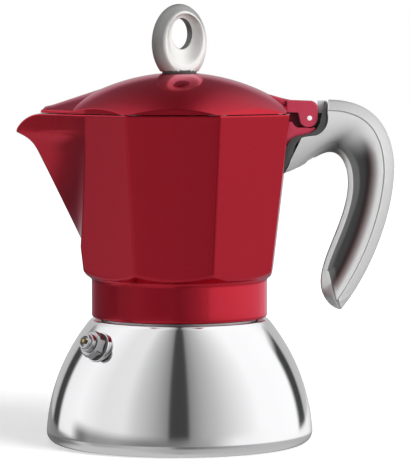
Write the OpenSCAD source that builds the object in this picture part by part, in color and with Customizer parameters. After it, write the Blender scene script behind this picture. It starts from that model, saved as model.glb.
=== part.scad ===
// Stove-top moka pot with a steel-clad boiler, an octagonal collector and a hinged lid.
// Millimetres. +Z is up and the origin is the centre of the base on the table.
// The spout points to -X and the handle to +X.

/* [Boiler] */
// Radius of the boiler at its base
boiler_r = 59; // [56:0.5:62]
// Height of the shoulder, where the bell ends
boiler_h = 54.5; // [52:0.5:57]
// Radius of the rounded corner at the base
base_corner_r = 5; // [3:0.5:7]
// Thickness of the outer steel shell
shell_t = 1; // [0.8:0.1:1.4]
// Thickness of the inner aluminium liner
liner_t = 1.8; // [1.4:0.1:2.4]
// Outer radius of the threaded neck
thread_r = 34; // [33:0.25:35]
// Height of the threaded neck above the shoulder
thread_h = 13.7; // [12:0.1:15]
// Wall of the threaded neck
thread_wall = 2; // [1.6:0.1:2.5]

/* [Safety valve] */
// Compass angle of the valve, from the handle side
valve_turn = 225; // [215:1:240]
// Distance of the valve below the shoulder
valve_drop = 9.9; // [8.5:0.2:12.5]
// Upward tilt of the valve
valve_tilt = 22; // [18:1:28]
// Width of the hexagon across its flats
valve_hex_af = 11; // [10:0.25:12.5]
// Thickness of the hexagon
valve_hex_t = 4; // [3:0.25:5]
// Radius of the shank that goes through the wall
valve_shank_r = 4; // [3.6:0.1:4.4]
// Radius of the spring chamber
valve_chamber_r = 2.8; // [2.5:0.1:3]
// Radius of the plunger's stem
valve_stem_r = 0.95; // [0.8:0.05:1.1]
// Distance that the plunger opens
valve_travel = 1.5; // [1:0.1:2]
// Thickness of the washer under the hexagon
valve_washer_t = 0.8; // [0.6:0.1:1.2]

/* [Funnel] */
// Wall of the pressed funnel
funnel_t = 0.8; // [0.6:0.1:1]
// Depth of the coffee basket
basket_depth = 22; // [18:0.5:24]
// Depth of the cone under the basket
cone_depth = 9; // [7:0.5:11]
// Outer radius of the funnel's tube
tube_r = 5; // [4.5:0.25:6]
// Space between the tube and the floor of the boiler
tube_foot_gap = 6; // [4:0.5:9]
// Diameter of the strainer's holes
strainer_hole_d = 1.8; // [1.4:0.1:2.2]

/* [Seal and filter] */
// Thickness of the rubber gasket
gasket_t = 3; // [2.4:0.1:3.6]
// Inner radius of the gasket
gasket_in_r = 25.5; // [24.5:0.25:26.5]
// Radius of the filter plate
filter_r = 27; // [26.75:0.25:28.5]
// Thickness of the filter plate
filter_t = 0.6; // [0.5:0.1:0.8]
// Diameter of the filter's holes
filter_hole_d = 1.3; // [1:0.1:1.6]

/* [Collector] */
// Outer radius of the round collar
collar_r = 38.8; // [38.2:0.2:40]
// Gap between the collar and the shoulder
collar_gap = 0.75; // [0.5:0.05:1.2]
// Height of the collar
collar_h = 17.2; // [16:0.2:18.4]
// Corner radius of the octagon at its lower end
octagon_low_r = 44.5; // [43:0.25:46]
// Corner radius of the octagon at the rim
octagon_rim_r = 53.1; // [51:0.25:55]
// Height from the collar to the rim
body_h = 72.8; // [68:0.4:76]
// Rise of the dished underside, from the collar to the octagon's corners
dish_rise = 4; // [3:0.25:5]
// Wall of the collector
wall = 2.4; // [2:0.1:3]
// Thickness of the collector's floor
floor_t = 4.3; // [3.6:0.1:5.5]
// Height of the coffee column above the floor
column_h = 50; // [42:1:56]
// Bore radius of the coffee column
column_bore_r = 3.4; // [2.8:0.1:3.8]

/* [Spout] */
// Reach of the spout's tip past the rim
spout_reach = 23.2; // [20:0.4:25]
// Depth of the spout below the rim
spout_depth = 58; // [52:1:62]
// Half width of the spout at the rim
spout_half_w = 30.2; // [27:0.4:33]
// Height of the beak's curve below the rim
beak_depth = 18; // [16:0.5:20]
// Hollow of the spout's sides
spout_hollow = 3; // [1.5:0.25:4]
// Radius of the lip's curve
lip_r = 13.3; // [12.8:0.1:14.5]

/* [Lid] */
// Height of the dome above the rim
dome_h = 18; // [16.5:0.25:19.5]
// Radius of the dome
dome_r = 86; // [82:1:92]
// Wall of the lid
lid_t = 1.8; // [1.5:0.1:2.2]
// Gap between the lid and the rim
lid_gap = 0.3; // [0.2:0.05:0.5]

/* [Hinge] */
// Distance of the hinge pin behind the rim
hinge_out = 8.4; // [8:0.1:9.2]
// Distance of the hinge pin below the rim
hinge_drop = 1.9; // [1.5:0.1:2.3]
// Radius of the hinge pin
pin_r = 1.3; // [1.1:0.05:1.5]
// Running clearance of the lid's ears on the pin
pin_clearance = 0.05; // [0.03:0.01:0.08]
// Radius of the round end of the ears
ear_r = 4.1; // [3.8:0.1:4.2]
// Thickness of each ear
ear_t = 2.9; // [2.5:0.1:3.2]
// Thickness of the collector's knuckle between the ears
knuckle_w = 6.8; // [6:0.1:7.4]
// Side clearance between the ears and the knuckle
ear_side_gap = 0.25; // [0.2:0.05:0.4]

/* [Knob] */
// Height of the knob
knob_h = 29.7; // [27:0.3:32]
// Half width of the knob
knob_half_w = 13; // [12:0.25:14]
// Thickness of the knob at its dished faces
knob_t = 11; // [10:0.25:12]
// Turn of the knob about the upright axis
knob_turn = 31; // [0:1:45]
// Half width of the finger hole
knob_hole_half_w = 5.1; // [4.5:0.1:5.5]
// Half height of the finger hole
knob_hole_half_h = 6.8; // [6:0.1:7.2]
// Thickness of the washer under the knob
knob_washer_t = 0.6; // [0.5:0.1:1]

/* [Handle] */
// Width of the handle
handle_w = 19; // [18:0.25:22]
// Height of the handle, from its lower end to its top
handle_h = 92.3; // [86:0.5:98]
// Reach of the handle behind the hinge pin
handle_reach = 37.1; // [34:0.5:42]
// Width of the flat along the handle's back
spine_w = 12; // [9:0.5:14]
// Distance of the handle's crease from its back
crease_in = 4.6; // [3.5:0.2:5.5]
// Width of the strip along the handle's belly
strip_w = 2.3; // [1.8:0.1:3]
// Width of the dark mounting insert
insert_w = 16.6; // [16.2:0.2:17.6]
// Distance of the insert's pointed foot below the pin
insert_foot = 25; // [24.5:0.5:27]
// Width of the insert's foot
insert_foot_w = 6; // [4:0.5:8]
// Radius of the screws' shanks
screw_r = 2; // [1.8:0.1:2.2]
// Radius of the screws' heads
screw_head_r = 3.4; // [3.2:0.1:3.8]

/* [Hidden] */
$fn = 96;

SIDES = 8;
far_x = 120;                    // half size of the cutting shapes
HALF_SIDE = 180 / SIDES;
slack = 1;                      // how far a cutting shape runs past the face it cuts
seat_gap = 0.1;                 // gap of pieces that rest on each other across a joint
thread_gap = 0.4;               // gap between the boiler's and the collector's threads

// Boiler
shoulder_r = collar_r + 0.5;
bell_in = boiler_r - shoulder_r;
bell_r = (bell_in * bell_in + boiler_h * boiler_h) / (2 * bell_in);
bell_x = boiler_r - bell_r;     // centre of the bell's arc, level with the table
neck_top_z = boiler_h + thread_h;
neck_in_r = thread_r - thread_wall;
boiler_floor_z = shell_t + liner_t;

// Funnel
rim_r = thread_r - 0.5;
basket_r = neck_in_r - 0.6;
funnel_top_z = neck_top_z + funnel_t;
basket_floor_z = funnel_top_z - basket_depth;
cone_foot_z = basket_floor_z - cone_depth;
strainer_r = basket_r - funnel_t - 0.1;
ledge_r = strainer_r - 2.5;
tube_in_r = tube_r - funnel_t;
tube_foot_z = boiler_floor_z + tube_foot_gap;

// Seal and filter
gasket_z = funnel_top_z + seat_gap;
gasket_r = thread_r + thread_gap - 1.4;
filter_z = gasket_z + gasket_t;
filter_pocket_h = filter_t + 0.4;
filter_pocket_r = filter_r + 0.3;

// Collector
collar_z = boiler_h + collar_gap;
dish_z = collar_z + collar_h;
octagon_low_z = dish_z + dish_rise;
rim_z = dish_z + body_h;
dish_slope = dish_rise / (octagon_low_r - collar_r);
flare = (octagon_rim_r - octagon_low_r) / (rim_z - octagon_low_z);
chamber_z = filter_z + filter_pocket_h;
chamber_r = filter_r - 3;
floor_z = max(chamber_z + floor_t, dish_z + wall);
column_z = floor_z + column_h;
column_foot_r = chamber_r - 4;
column_flare_r = column_foot_r - 4;
column_r = column_bore_r + 2.2;
rim_x = octagon_rim_r * cos(HALF_SIDE);     // distance from the axis to a facet at the rim

// Spout
spout_z = rim_z - spout_depth;
spout_tip_x = rim_x + spout_reach;
beak_z = rim_z - beak_depth;
beak_foot_x = rim_x + 0.56 * spout_reach;
lip_x = spout_tip_x - lip_r + 1.3;          // where the lip leaves the rim

// Lid
lid_z = rim_z + lid_gap;
dome_z = rim_z + dome_h - dome_r;           // centre of the dome
lid_r = octagon_rim_r - 0.2;
nose_x = lip_x + 0.6;                       // front end of the lid's beak
rear_x = rim_x - 1.4;                       // straight rear edge of the lid
knob_z = rim_z + dome_h - 0.2 + knob_washer_t;

// Hinge
pin_x = rim_x + hinge_out;
pin_z = rim_z - hinge_drop;
ear_y = knuckle_w / 2 + ear_side_gap;       // inner face of an ear
fork_w = 2 * (ear_y + ear_t);
knuckle_r = ear_r - 0.8;
ear_top = 7.6;                              // height of the ears' top over the pin
fork_front = 8.9;                           // distance of the fork's root before the pin
swing_r = ear_top + 0.6;                    // room that the ears need to swing
back_r = swing_r - 0.05;                    // inner edge of the handle's silver body

// Handle
tang_w = knuckle_w - 0.6;
screw_tilt = 30;
screw_start = [-0.8, -16.85];               // centre of the screw's seat, from the pin
screw_l = 10;
head_t = 1.8;

function circle_x(r, y) = sqrt(max(r * r - y * y, 0));
function arc(c, r, a0, a1, n) = [for (i = [0 : n]) let (a = a0 + (a1 - a0) * i / n)
    [c[0] + r * cos(a), c[1] + r * sin(a)]];
function curve(p, t) = pow(1 - t, 3) * p[0] + 3 * t * pow(1 - t, 2) * p[1]
    + 3 * t * t * (1 - t) * p[2] + pow(t, 3) * p[3];
function flip(points) = [for (i = [len(points) - 1 : -1 : 0]) points[i]];
function last(list) = list[len(list) - 1];

// A closed skin over equal rings of points, with flat ends
module skin(rings) {
    n = len(rings[0]);
    m = len(rings);
    sides = [for (k = [0 : m - 2], i = [0 : n - 1]) let (j = (i + 1) % n)
        [k * n + i, k * n + j, (k + 1) * n + j, (k + 1) * n + i]];
    polyhedron(points = [for (ring = rings) each ring],
        faces = concat([[for (i = [n - 1 : -1 : 0]) i]],
            [for (f = sides) each [[f[0], f[1], f[2]], [f[0], f[2], f[3]]]],
            [[for (i = [0 : n - 1]) (m - 1) * n + i]]));
}

// A slab cut to a side view, in which points are [x, z]
module side_slab(points, width) {
    rotate([90, 0, 0]) linear_extrude(width, center = true) polygon(points);
}

// A round bar across the pot, centred on the hinge pin
module pin_bar(r, width) {
    translate([pin_x, 0, pin_z]) rotate([90, 0, 0]) cylinder(r = r, h = width, center = true);
}

// ---------- Boiler ----------

// Half outline of the bell, as seen from the side, moved inwards by inset
function bell_outline(inset) =
    let (r = bell_r - inset, corner = base_corner_r - inset / 2,
         corner_z = inset + corner,
         corner_x = bell_x + circle_x(r - corner, corner_z),
         turn = asin(corner_z / (r - corner)),
         top_z = boiler_h - inset)
    concat(arc([corner_x, corner_z], corner, -90, turn, 8),
           arc([bell_x, 0], r, turn + 1, asin(top_z / r), 20));

module boiler_shell() {
    color("silver") difference() {
        union() {
            rotate_extrude() difference() {
                polygon(concat([[0, 0]], bell_outline(0), [[0, boiler_h]]));
                polygon(concat([[0, shell_t]], bell_outline(shell_t), [[0, boiler_h - shell_t]]));
                square([thread_r, 2 * boiler_h - 2 * slack]);
            }
            cylinder(r = thread_r, h = shell_t);
            difference() {
                valve_axis() translate([0, 0, -4]) cylinder(r = pad_r, h = 4 + pad_s);
                bell_solid(shell_t);
            }
        }
        valve_axis() translate([0, 0, -10]) cylinder(r = valve_shank_r, h = 20);
    }
}

module bell_solid(inset) {
    rotate_extrude() polygon(concat([[0, inset]], bell_outline(inset), [[0, boiler_h - inset]]));
}

module boiler_liner() {
    inset = shell_t + liner_t;
    color("gainsboro") difference() {
        union() {
            bell_solid(shell_t);
            translate([0, 0, boiler_h - inset]) cylinder(r = thread_r, h = thread_h + inset);
        }
        difference() {
            bell_solid(inset);
            valve_axis() translate([0, 0, -valve_deep]) cylinder(r = boss_r, h = valve_deep);
        }
        translate([0, 0, boiler_h - 2 * inset]) cylinder(r = neck_in_r, h = thread_h + 2 * inset + slack);
        valve_axis() translate([0, 0, -valve_deep - slack])
            cylinder(r = valve_shank_r, h = valve_deep + 20);
    }
}

// ---------- Safety valve ----------
valve_z = boiler_h - valve_drop;
bell_slope = asin(valve_z / bell_r);        // tilt of the bell's surface at the valve
valve_deep = 8;                             // length of the shank inside the bell
boss_r = valve_shank_r + liner_t;
pad_r = valve_hex_af / 2 + 1.2;
pad_s = pad_r * tan(abs(bell_slope - valve_tilt)) + 0.2;     // height of the pad over the bell
washer_s = pad_s;
hex_s = washer_s + valve_washer_t;
cap_s = hex_s + valve_hex_t;
valve_seat_s = -valve_deep + 2;             // floor of the spring chamber
seal_t = 1;
flange_t = 0.8;
flange_s = valve_seat_s + seal_t;
spring_s = flange_s + flange_t;
cap_spigot = 0.7;
spring_end_s = cap_s - cap_spigot - valve_travel - 0.1;
cap_t = 3.2;
stem_end_s = cap_s + cap_t + 0.9;

// Places its children on the valve's axis, with +Z pointing out of the boiler
module valve_axis() {
    r = bell_x + circle_x(bell_r, valve_z);
    rotate([0, 0, valve_turn]) translate([r, 0, valve_z])
        rotate([0, 90 - valve_tilt, 0]) children();
}

module valve_ring(s, r_out, r_in, h) {
    valve_axis() translate([0, 0, s]) difference() {
        cylinder(r = r_out, h = h);
        translate([0, 0, -slack]) cylinder(r = r_in, h = h + 2 * slack);
    }
}

module valve_washer() {
    color("dimgray") valve_ring(washer_s, pad_r - 0.5, valve_shank_r, valve_washer_t);
}

module valve_body() {
    hex_r = valve_hex_af / 2 / cos(30);
    color("tan") valve_axis() difference() {
        union() {
            translate([0, 0, -valve_deep]) cylinder(r = valve_shank_r, h = valve_deep + hex_s + slack);
            intersection() {
                translate([0, 0, hex_s]) cylinder(r = hex_r, h = valve_hex_t, $fn = 6);
                translate([0, 0, hex_s]) cylinder(r1 = hex_r + 2.6, r2 = valve_hex_af / 2 - 0.3,
                    h = valve_hex_t + 0.01);
            }
        }
        translate([0, 0, valve_seat_s]) cylinder(r = valve_chamber_r, h = cap_s - valve_seat_s + slack);
        translate([0, 0, -valve_deep - slack]) cylinder(r = valve_stem_r + 0.6, h = valve_deep);
    }
}

module valve_cap() {
    color("silver") valve_axis() difference() {
        union() {
            translate([0, 0, cap_s - cap_spigot]) cylinder(r = valve_chamber_r, h = cap_spigot);
            translate([0, 0, cap_s]) cylinder(r = valve_chamber_r + 1.3, h = cap_t * 0.55);
            translate([0, 0, cap_s]) cylinder(r = valve_chamber_r + 0.5, h = cap_t);
        }
        translate([0, 0, cap_s + cap_t - 1.2]) cylinder(r = valve_chamber_r - 0.4, h = 1.2 + slack);
        translate([0, 0, cap_s - slack]) cylinder(r = valve_stem_r + pin_clearance, h = cap_t + slack);
    }
}

module valve_seal() {
    color("darkred") valve_ring(valve_seat_s, valve_chamber_r - 0.3, valve_stem_r, seal_t);
}

module valve_plunger() {
    color("goldenrod") valve_axis() {
        translate([0, 0, -valve_deep + 0.5])
            cylinder(r = valve_stem_r, h = stem_end_s + valve_deep - 0.5);
        translate([0, 0, flange_s]) cylinder(r = valve_chamber_r - 0.25, h = flange_t);
    }
}

module valve_spring() {
    turns = 6;
    steps = 12;
    wire_r = 0.28;
    mid_r = (valve_chamber_r - 0.2 + valve_stem_r) / 2 + 0.15;
    rise = (spring_end_s - spring_s - 2 * wire_r) / (turns * steps);
    color("lightgray") valve_axis() skin([for (k = [0 : turns * steps])
        [for (i = [0 : 5]) let (a = k * 360 / steps, b = i * 60,
                r = mid_r + wire_r * cos(b))
            [r * cos(a), r * sin(a), spring_s + wire_r + k * rise + wire_r * sin(b)]]]);
}

// ---------- Funnel ----------

module funnel_basket() {
    t = funnel_t;
    color("gainsboro") rotate_extrude() polygon([
        [rim_r, funnel_top_z], [rim_r, neck_top_z], [basket_r, neck_top_z],
        [basket_r, basket_floor_z - t], [ledge_r, basket_floor_z - t],
        [tube_r + t, cone_foot_z], [tube_r + t, cone_foot_z - 4], [tube_r, cone_foot_z - 4],
        [tube_r, cone_foot_z + 0.4], [ledge_r - t, basket_floor_z], [basket_r - t, basket_floor_z],
        [basket_r - t, funnel_top_z]]);
}

module funnel_tube() {
    top_z = cone_foot_z + 0.3;
    color("gainsboro") difference() {
        translate([0, 0, tube_foot_z]) cylinder(r = tube_r, h = top_z - tube_foot_z);
        translate([0, 0, tube_foot_z - slack])
            cylinder(r = tube_in_r, h = top_z - tube_foot_z + 2 * slack);
    }
}

// A round plate drilled in rings, with six more holes in each ring
module drilled_plate(r, t, hole_d, pitch) {
    rings = floor((r - hole_d - 1) / pitch);
    difference() {
        cylinder(r = r, h = t);
        translate([0, 0, -slack]) cylinder(d = hole_d, h = t + 2 * slack);
        for (k = [1 : rings], i = [0 : 6 * k - 1])
            rotate([0, 0, i * 60 / k]) translate([k * pitch, 0, -slack])
                cylinder(d = hole_d, h = t + 2 * slack, $fn = 16);
    }
}

module funnel_strainer() {
    color("silver") translate([0, 0, basket_floor_z])
        drilled_plate(strainer_r, funnel_t, strainer_hole_d, 5);
}

// ---------- Seal and filter ----------

module gasket() {
    color("white") rotate_extrude()
        translate([gasket_in_r, gasket_z]) square([gasket_r - gasket_in_r, gasket_t]);
}

module filter_plate() {
    color("silver") translate([0, 0, filter_z])
        drilled_plate(filter_r, filter_t, filter_hole_d, 4);
}

// ---------- Collector ----------

function octagon_r(z) = octagon_low_r + flare * (z - octagon_low_z);

// The spout's ridge, as [distance from the axis, height]: straight, then curling out to the tip
ridge_foot = [octagon_r(spout_z) * cos(HALF_SIDE), spout_z];
ridge_knee = [beak_foot_x, beak_z];
ridge_tip = [spout_tip_x + 0.3, rim_z - lip_r * 0.63];
ridge_pull = 0.45 * beak_depth;
lip_lean = 68;                              // lean of the spout's tip from upright
ridge_lean = atan2(ridge_knee[0] - ridge_foot[0], ridge_knee[1] - ridge_foot[1]);
ridge_curl = [ridge_knee, ridge_knee + 0.7 * ridge_pull * [sin(ridge_lean), cos(ridge_lean)],
              ridge_tip - 0.8 * ridge_pull * [sin(lip_lean), cos(lip_lean)], ridge_tip];
BEAK_STEPS = 6;
ridge = concat([ridge_foot, (ridge_foot + ridge_knee) / 2],
               [for (i = [0 : BEAK_STEPS]) curve(ridge_curl, i / BEAK_STEPS)],
               [[ridge_tip[0] + 0.6, rim_z + slack]]);

// One level of the octagonal body, with the spout's point at tip_x. Moved inwards by inset, and by
// less of it along the ridge where the spout thins towards its lip.
SIDE_STEPS = 6;
function body_ring(z, tip_x, share, inset) =
    let (r = octagon_r(z) - inset / cos(HALF_SIDE),
         corner = r * sin(HALF_SIDE),
         half_w = corner + (spout_half_w - inset / 2 - corner) * share,
         facet = r * cos(HALF_SIDE),
         start = [-min(facet, facet * sqrt(2) - half_w), -half_w],
         thin = min(max((z - beak_z) / (ridge_tip[1] - beak_z), 0), 1),
         tip = [-max(tip_x - inset * (1 + 0.4 * share - 0.75 * thin), facet), 0],
         along = (tip - start) / norm(tip - start),
         inward = [along[1], -along[0]],
         side = [for (i = [0 : SIDE_STEPS]) let (t = 0.97 * i / SIDE_STEPS)
             start + (tip - start) * t
             + inward * spout_hollow * share * 4 * t * (1 - t)],
         rear = [for (i = [0 : 5]) let (a = 180 - 3 * HALF_SIDE - i * 2 * HALF_SIDE)
             [r * cos(a), r * sin(a)]])
    [for (p = concat(side, [tip], [for (p = flip(side)) [p[0], -p[1]]], rear))
        [p[0], p[1], z]];

// The octagonal body with its spout, from below the dish to just above the rim
module body_solid(inset) {
    low_z = dish_z - 4;
    skin(concat([body_ring(low_z, 0, 0, inset)],
        [for (p = ridge) body_ring(p[1], p[0], (p[1] - spout_z) / spout_depth, inset)]));
}

// Everything above a dished floor that rises outside the radius flat_r
module dish_solid(z, flat_r) {
    far = 100;
    rotate_extrude() polygon([[0, z], [flat_r, z], [far, z + (far - flat_r) * dish_slope],
        [far, 2 * rim_z], [0, 2 * rim_z]]);
}

// The space above the rim and above the curve of the lip
module lip_cutter() {
    side_slab(concat([[far_x, rim_z], [-lip_x, rim_z]],
        arc([-lip_x, rim_z - lip_r], lip_r, 90, 180, 16),
        [[-far_x, rim_z - lip_r], [-far_x, 2 * rim_z], [far_x, 2 * rim_z]]), 2 * far_x);
}

module collector() {
    bore_r = thread_r + thread_gap;
    color("firebrick") difference() {
        union() {
            difference() {
                union() {
                    intersection() {
                        body_solid(0);
                        dish_solid(dish_z, collar_r);
                    }
                    rotate_extrude() polygon(concat([[0, dish_z + slack], [0, collar_z]],
                        arc([collar_r - 1.5, collar_z + 1.5], 1.5, -90, 0, 6),
                        [[collar_r, dish_z + slack]]));
                }
                intersection() {
                    body_solid(wall);
                    dish_solid(floor_z, collar_r - wall);
                }
            }
            coffee_column();
            bracket();
        }
        lip_cutter();
        translate([0, 0, collar_z - slack]) cylinder(r = bore_r, h = filter_z - collar_z + slack);
        translate([0, 0, filter_z - slack]) cylinder(r = filter_pocket_r, h = filter_pocket_h + slack);
        translate([0, 0, chamber_z]) cylinder(r1 = chamber_r, r2 = column_bore_r,
            h = floor_z + 3 - chamber_z);
        cylinder(r = column_bore_r, h = column_z - 3);
        translate([0, 0, column_z - 6]) rotate([90, 0, 0])
            cylinder(r = column_bore_r * 0.6, h = 4 * column_r, center = true);
        pin_bar(pin_r, fork_w);
        handle_screw_axis() cylinder(r = screw_r, h = screw_l + 2);
    }
}

module coffee_column() {
    flare_end = -90 - asin((column_foot_r - column_r) / column_flare_r);
    rotate_extrude() polygon(concat([[0, floor_z - slack], [column_foot_r, floor_z - slack]],
        arc([column_foot_r, floor_z + column_flare_r], column_flare_r, -90, flare_end, 8),
        arc([column_r - 2, column_z - 2], 2, 0, 90, 5), [[0, column_z]]));
}

// Distance from the axis to a facet at a height
function facet_x(z) = octagon_r(z) * cos(HALF_SIDE);

// The edge between the bracket and the handle's dark insert, from the pin
bracket_edge = [[2.9, -5], [0.8, -6.4], [-2.5, -7.3], [-5.3, -7.8], [-8, -9.2], [-9.6, -11.9]];

// The hinge bracket on the rear facet: a base as wide as the fork, a knuckle and a tang
module bracket() {
    root_x = rim_x - wall - 1;
    base_r = ear_r + 0.35;
    difference() {
        union() {
            side_slab(concat([[root_x, pin_z - 14], [root_x, pin_z - 1.6]],
                arc([rim_x + 3.9, pin_z - 1.2], 3.1, 190, 262, 5),
                arc([pin_x, pin_z], base_r, -110, -64, 5), at_pin(bracket_edge)), fork_w);
            side_slab(concat([[root_x, pin_z - 7], [root_x, pin_z + 0.4]],
                arc([pin_x, pin_z], knuckle_r, 100, -80, 14), [[pin_x - 1, pin_z - 7]]), knuckle_w);
            side_slab([[root_x, pin_z - 13.5], [pin_x - 0.5, pin_z - 13.5],
                [pin_x + 1, pin_z - 11], [pin_x + 0.5, pin_z - 6], [root_x, pin_z - 6]], tang_w);
        }
        side_slab([[0, 0], [facet_x(0) - wall / 2, 0], [facet_x(2 * rim_z) - wall / 2, 2 * rim_z],
            [0, 2 * rim_z]], 2 * fork_w);
    }
}

module hinge_pin() {
    color("whitesmoke") pin_bar(pin_r, fork_w + 0.3);
}

// ---------- Lid ----------

// The dome, cut by the octagon's sides and straight at the rear
module dome_solid(inset) {
    intersection() {
        translate([0, 0, dome_z]) sphere(r = dome_r - inset, $fn = 160);
        rotate([0, 0, HALF_SIDE]) translate([0, 0, lid_z - inset])
            cylinder(r = lid_r - inset / cos(HALF_SIDE), h = dome_h + 2 * inset, $fn = SIDES);
        translate([-far_x, -far_x, 0]) cube([far_x + rear_x - inset, 2 * far_x, 2 * rim_z]);
    }
}

// The roof over the spout, from a ridge inside the dome to a blunt nose
module beak_solid(inset) {
    base = 0.4;
    start_x = -(rim_x * sqrt(2) - spout_half_w) + 1.2 * inset;
    low = lid_z - 2 * inset;
    hull() {
        translate([start_x, 0, low + base / 2])
            cube([base, 2 * (spout_half_w - 1.2 * inset), base], center = true);
        for (side = [-1, 1]) translate([0, side * 4.5, 0]) {
            translate([-nose_x + 3.5, 0, low]) cylinder(r = 3.5 - inset, h = base, $fn = 32);
            translate([-nose_x + 4.6, 0, lid_z - 0.5]) sphere(r = 3 - inset, $fn = 24);
        }
        translate([-nose_x / 2, 0, rim_z + 5.2]) sphere(r = 6.8 - inset, $fn = 40);
    }
}

// The arm from the dome to the fork, and the two ears
module fork() {
    top_z = pin_z + ear_top;
    root_x = pin_x - fork_front;
    side_slab([[root_x - 11, lid_z + 4], [root_x - 11, top_z + 3.2], [root_x - 4, top_z + 1.2],
        [root_x + 0.8, top_z + 0.4], [root_x + 0.8, lid_z + 0.2], [root_x - 2, lid_z]], knuckle_w + 3);
    for (side = [-1, 1]) translate([0, side * (ear_y + ear_t / 2), 0])
        side_slab(concat([[root_x - 1.2, lid_z + 0.2], [root_x - 1.2, top_z + 0.6]],
            arc([pin_x - 0.2, pin_z + 3.6], 3.9, 78, 10, 8),
            arc([pin_x - 0.6, pin_z], ear_r, -5, -150, 12),
            [[pin_x - 5.2, lid_z + 0.2]]), ear_t);
}

module lid() {
    hole_r = screw_r + 0.15;
    boss_h = 3;
    color("firebrick") difference() {
        union() {
            difference() {
                union() {
                    dome_solid(0);
                    difference() {
                        beak_solid(0);
                        translate([-far_x, -far_x, 0]) cube([2 * far_x, 2 * far_x, lid_z]);
                    }
                    fork();
                }
                dome_solid(lid_t);
                difference() {
                    beak_solid(lid_t);
                    translate([-nose_x / 2, -far_x, 0]) cube([far_x, 2 * far_x, 2 * rim_z]);
                }
            }
            intersection() {
                translate([0, 0, knob_z - knob_washer_t - lid_t - boss_h])
                    cylinder(r = screw_head_r + 1.2, h = lid_t + boss_h);
                dome_solid(lid_t / 2);
            }
        }
        cylinder(r = hole_r, h = 2 * rim_z);
        pin_bar(pin_r + pin_clearance, 2 * fork_w);
    }
}

// ---------- Knob ----------

module knob_place() {
    translate([0, 0, knob_z]) rotate([0, 0, knob_turn]) children();
}

// An oval disc across the knob's thickness
module oval(half_w, half_h, z, depth, t) {
    translate([0, depth, z]) rotate([90, 0, 0]) scale([half_w, half_h, 1])
        cylinder(r = 1, h = t, center = true, $fn = 48);
}

module knob() {
    mid_z = 0.42 * knob_h;                  // height of the widest level
    top = knob_h - mid_z;
    hole_z = 0.56 * knob_h;
    dish_z0 = 0.49 * knob_h;
    dish_share = 0.69;                      // width of the dish's rim, as a share of the knob
    depth = 2 * knob_t / 3 * 1.13;
    color("darkgray") knob_place() difference() {
        intersection() {
            translate([0, 0, mid_z]) scale([knob_half_w, depth, top]) sphere(r = 1, $fn = 96);
            translate([-far_x, -knob_t / 2, 0]) cube([2 * far_x, knob_t, 2 * knob_h]);
        }
        oval(knob_hole_half_w, knob_hole_half_h, hole_z, 0, 2 * knob_t);
        for (side = [-1, 1]) hull() {
            oval(knob_half_w * dish_share, top * dish_share, dish_z0, side * knob_t / 2, 0.02);
            oval(knob_hole_half_w, knob_hole_half_h, hole_z, side * knob_t / 4.5, 0.02);
        }
        translate([0, 0, -slack]) cylinder(r = screw_r, h = 7 + slack);
    }
}

module knob_washer() {
    a0 = acos((screw_r + 0.15) / dome_r);
    a1 = acos(7.6 / dome_r);
    color("dimgray") rotate_extrude() polygon(concat([[7.6, knob_z], [screw_r + 0.15, knob_z]],
        arc([0, dome_z], dome_r, a0, a1, 8)));
}

// A pan-head screw that points up, with its seat at the origin and a crossed slot
module pan_screw(length) {
    difference() {
        union() {
            cylinder(r = screw_r, h = length);
            translate([0, 0, -head_t]) cylinder(r1 = screw_head_r - 0.6, r2 = screw_head_r, h = head_t);
        }
        for (a = [0, 90]) rotate([0, 0, a])
            translate([0, 0, -head_t]) cube([3.6, 0.8, 2], center = true);
    }
}

module knob_screw() {
    seat_z = knob_z - knob_washer_t - lid_t - 3;
    color("silver") translate([0, 0, seat_z]) pan_screw(knob_z + 6 - seat_z);
}

// ---------- Handle ----------

// Outlines of the handle, from the pin, as [x, z]
low = -(handle_h - 7.7);
back_a = [[3.6, 7.7], [30.6 / 37.1 * handle_reach, 9.9], [handle_reach, -7.5], [handle_reach, 0.28 * low]];
back_b = [last(back_a), [36.2 / 37.1 * handle_reach, 0.52 * low], [26.9, 0.8 * low], [13.8, low]];
palm = handle_reach - 20.3;
belly = [[[-11.8, -24.5], [-2.5, -22], [3.7, -15], [8.9, -15]],
         [[8.9, -15], [13.2, -15], [palm, -19.5], [palm, 0.34 * low]],
         [[palm, 0.34 * low], [palm, 0.52 * low], [4.9, 0.72 * low], [4.9, 0.85 * low]],
         [[4.9, 0.85 * low], [4.9, 0.925 * low], [8.8, 0.98 * low], [13.8, low]]];
HANDLE_STEPS = 30;
SIDE_POINTS = 6;

// One rib of the handle, between a point on its back and a point on its belly. From the back inwards
// it has a flat, a crease, a side that curves in, and a strip along the belly that widens at the tip.
function rib(back, inner, u) =
    let (depth = norm(inner - back),
         crease = min(crease_in / depth, 0.4),
         strip_in = strip_w * (1 + 1.3 * pow(max(u - 1.35, 0) / 0.65, 2)),
         strip = 1 - min(strip_in / depth, 0.45),
         half = handle_w / 2 * min(1, 0.3 + depth / 16),
         side = concat([[0, spine_w / handle_w]],
             [for (i = [0 : SIDE_POINTS]) let (t = i / SIDE_POINTS, s = pow(t, 1.4))
                 [crease + (strip - crease) * t, 1 - 0.48 * s * s * (3 - 2 * s)]],
             [[1, 0.3]]))
    [for (p = concat(side, [for (q = flip(side)) [q[0], -q[1]]]))
        let (c = back + (inner - back) * p[0]) [pin_x + c[0], half * p[1], pin_z + c[1]]];

module handle_solid() {
    skin([for (k = [0 : HANDLE_STEPS]) let (
            u = 2 * min(k / HANDLE_STEPS, 0.985),
            v = 2 * u,
            piece = min(floor(v), 3))
        rib(u < 1 ? curve(back_a, u) : curve(back_b, u - 1), curve(belly[piece], v - piece), u)]);
}

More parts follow.
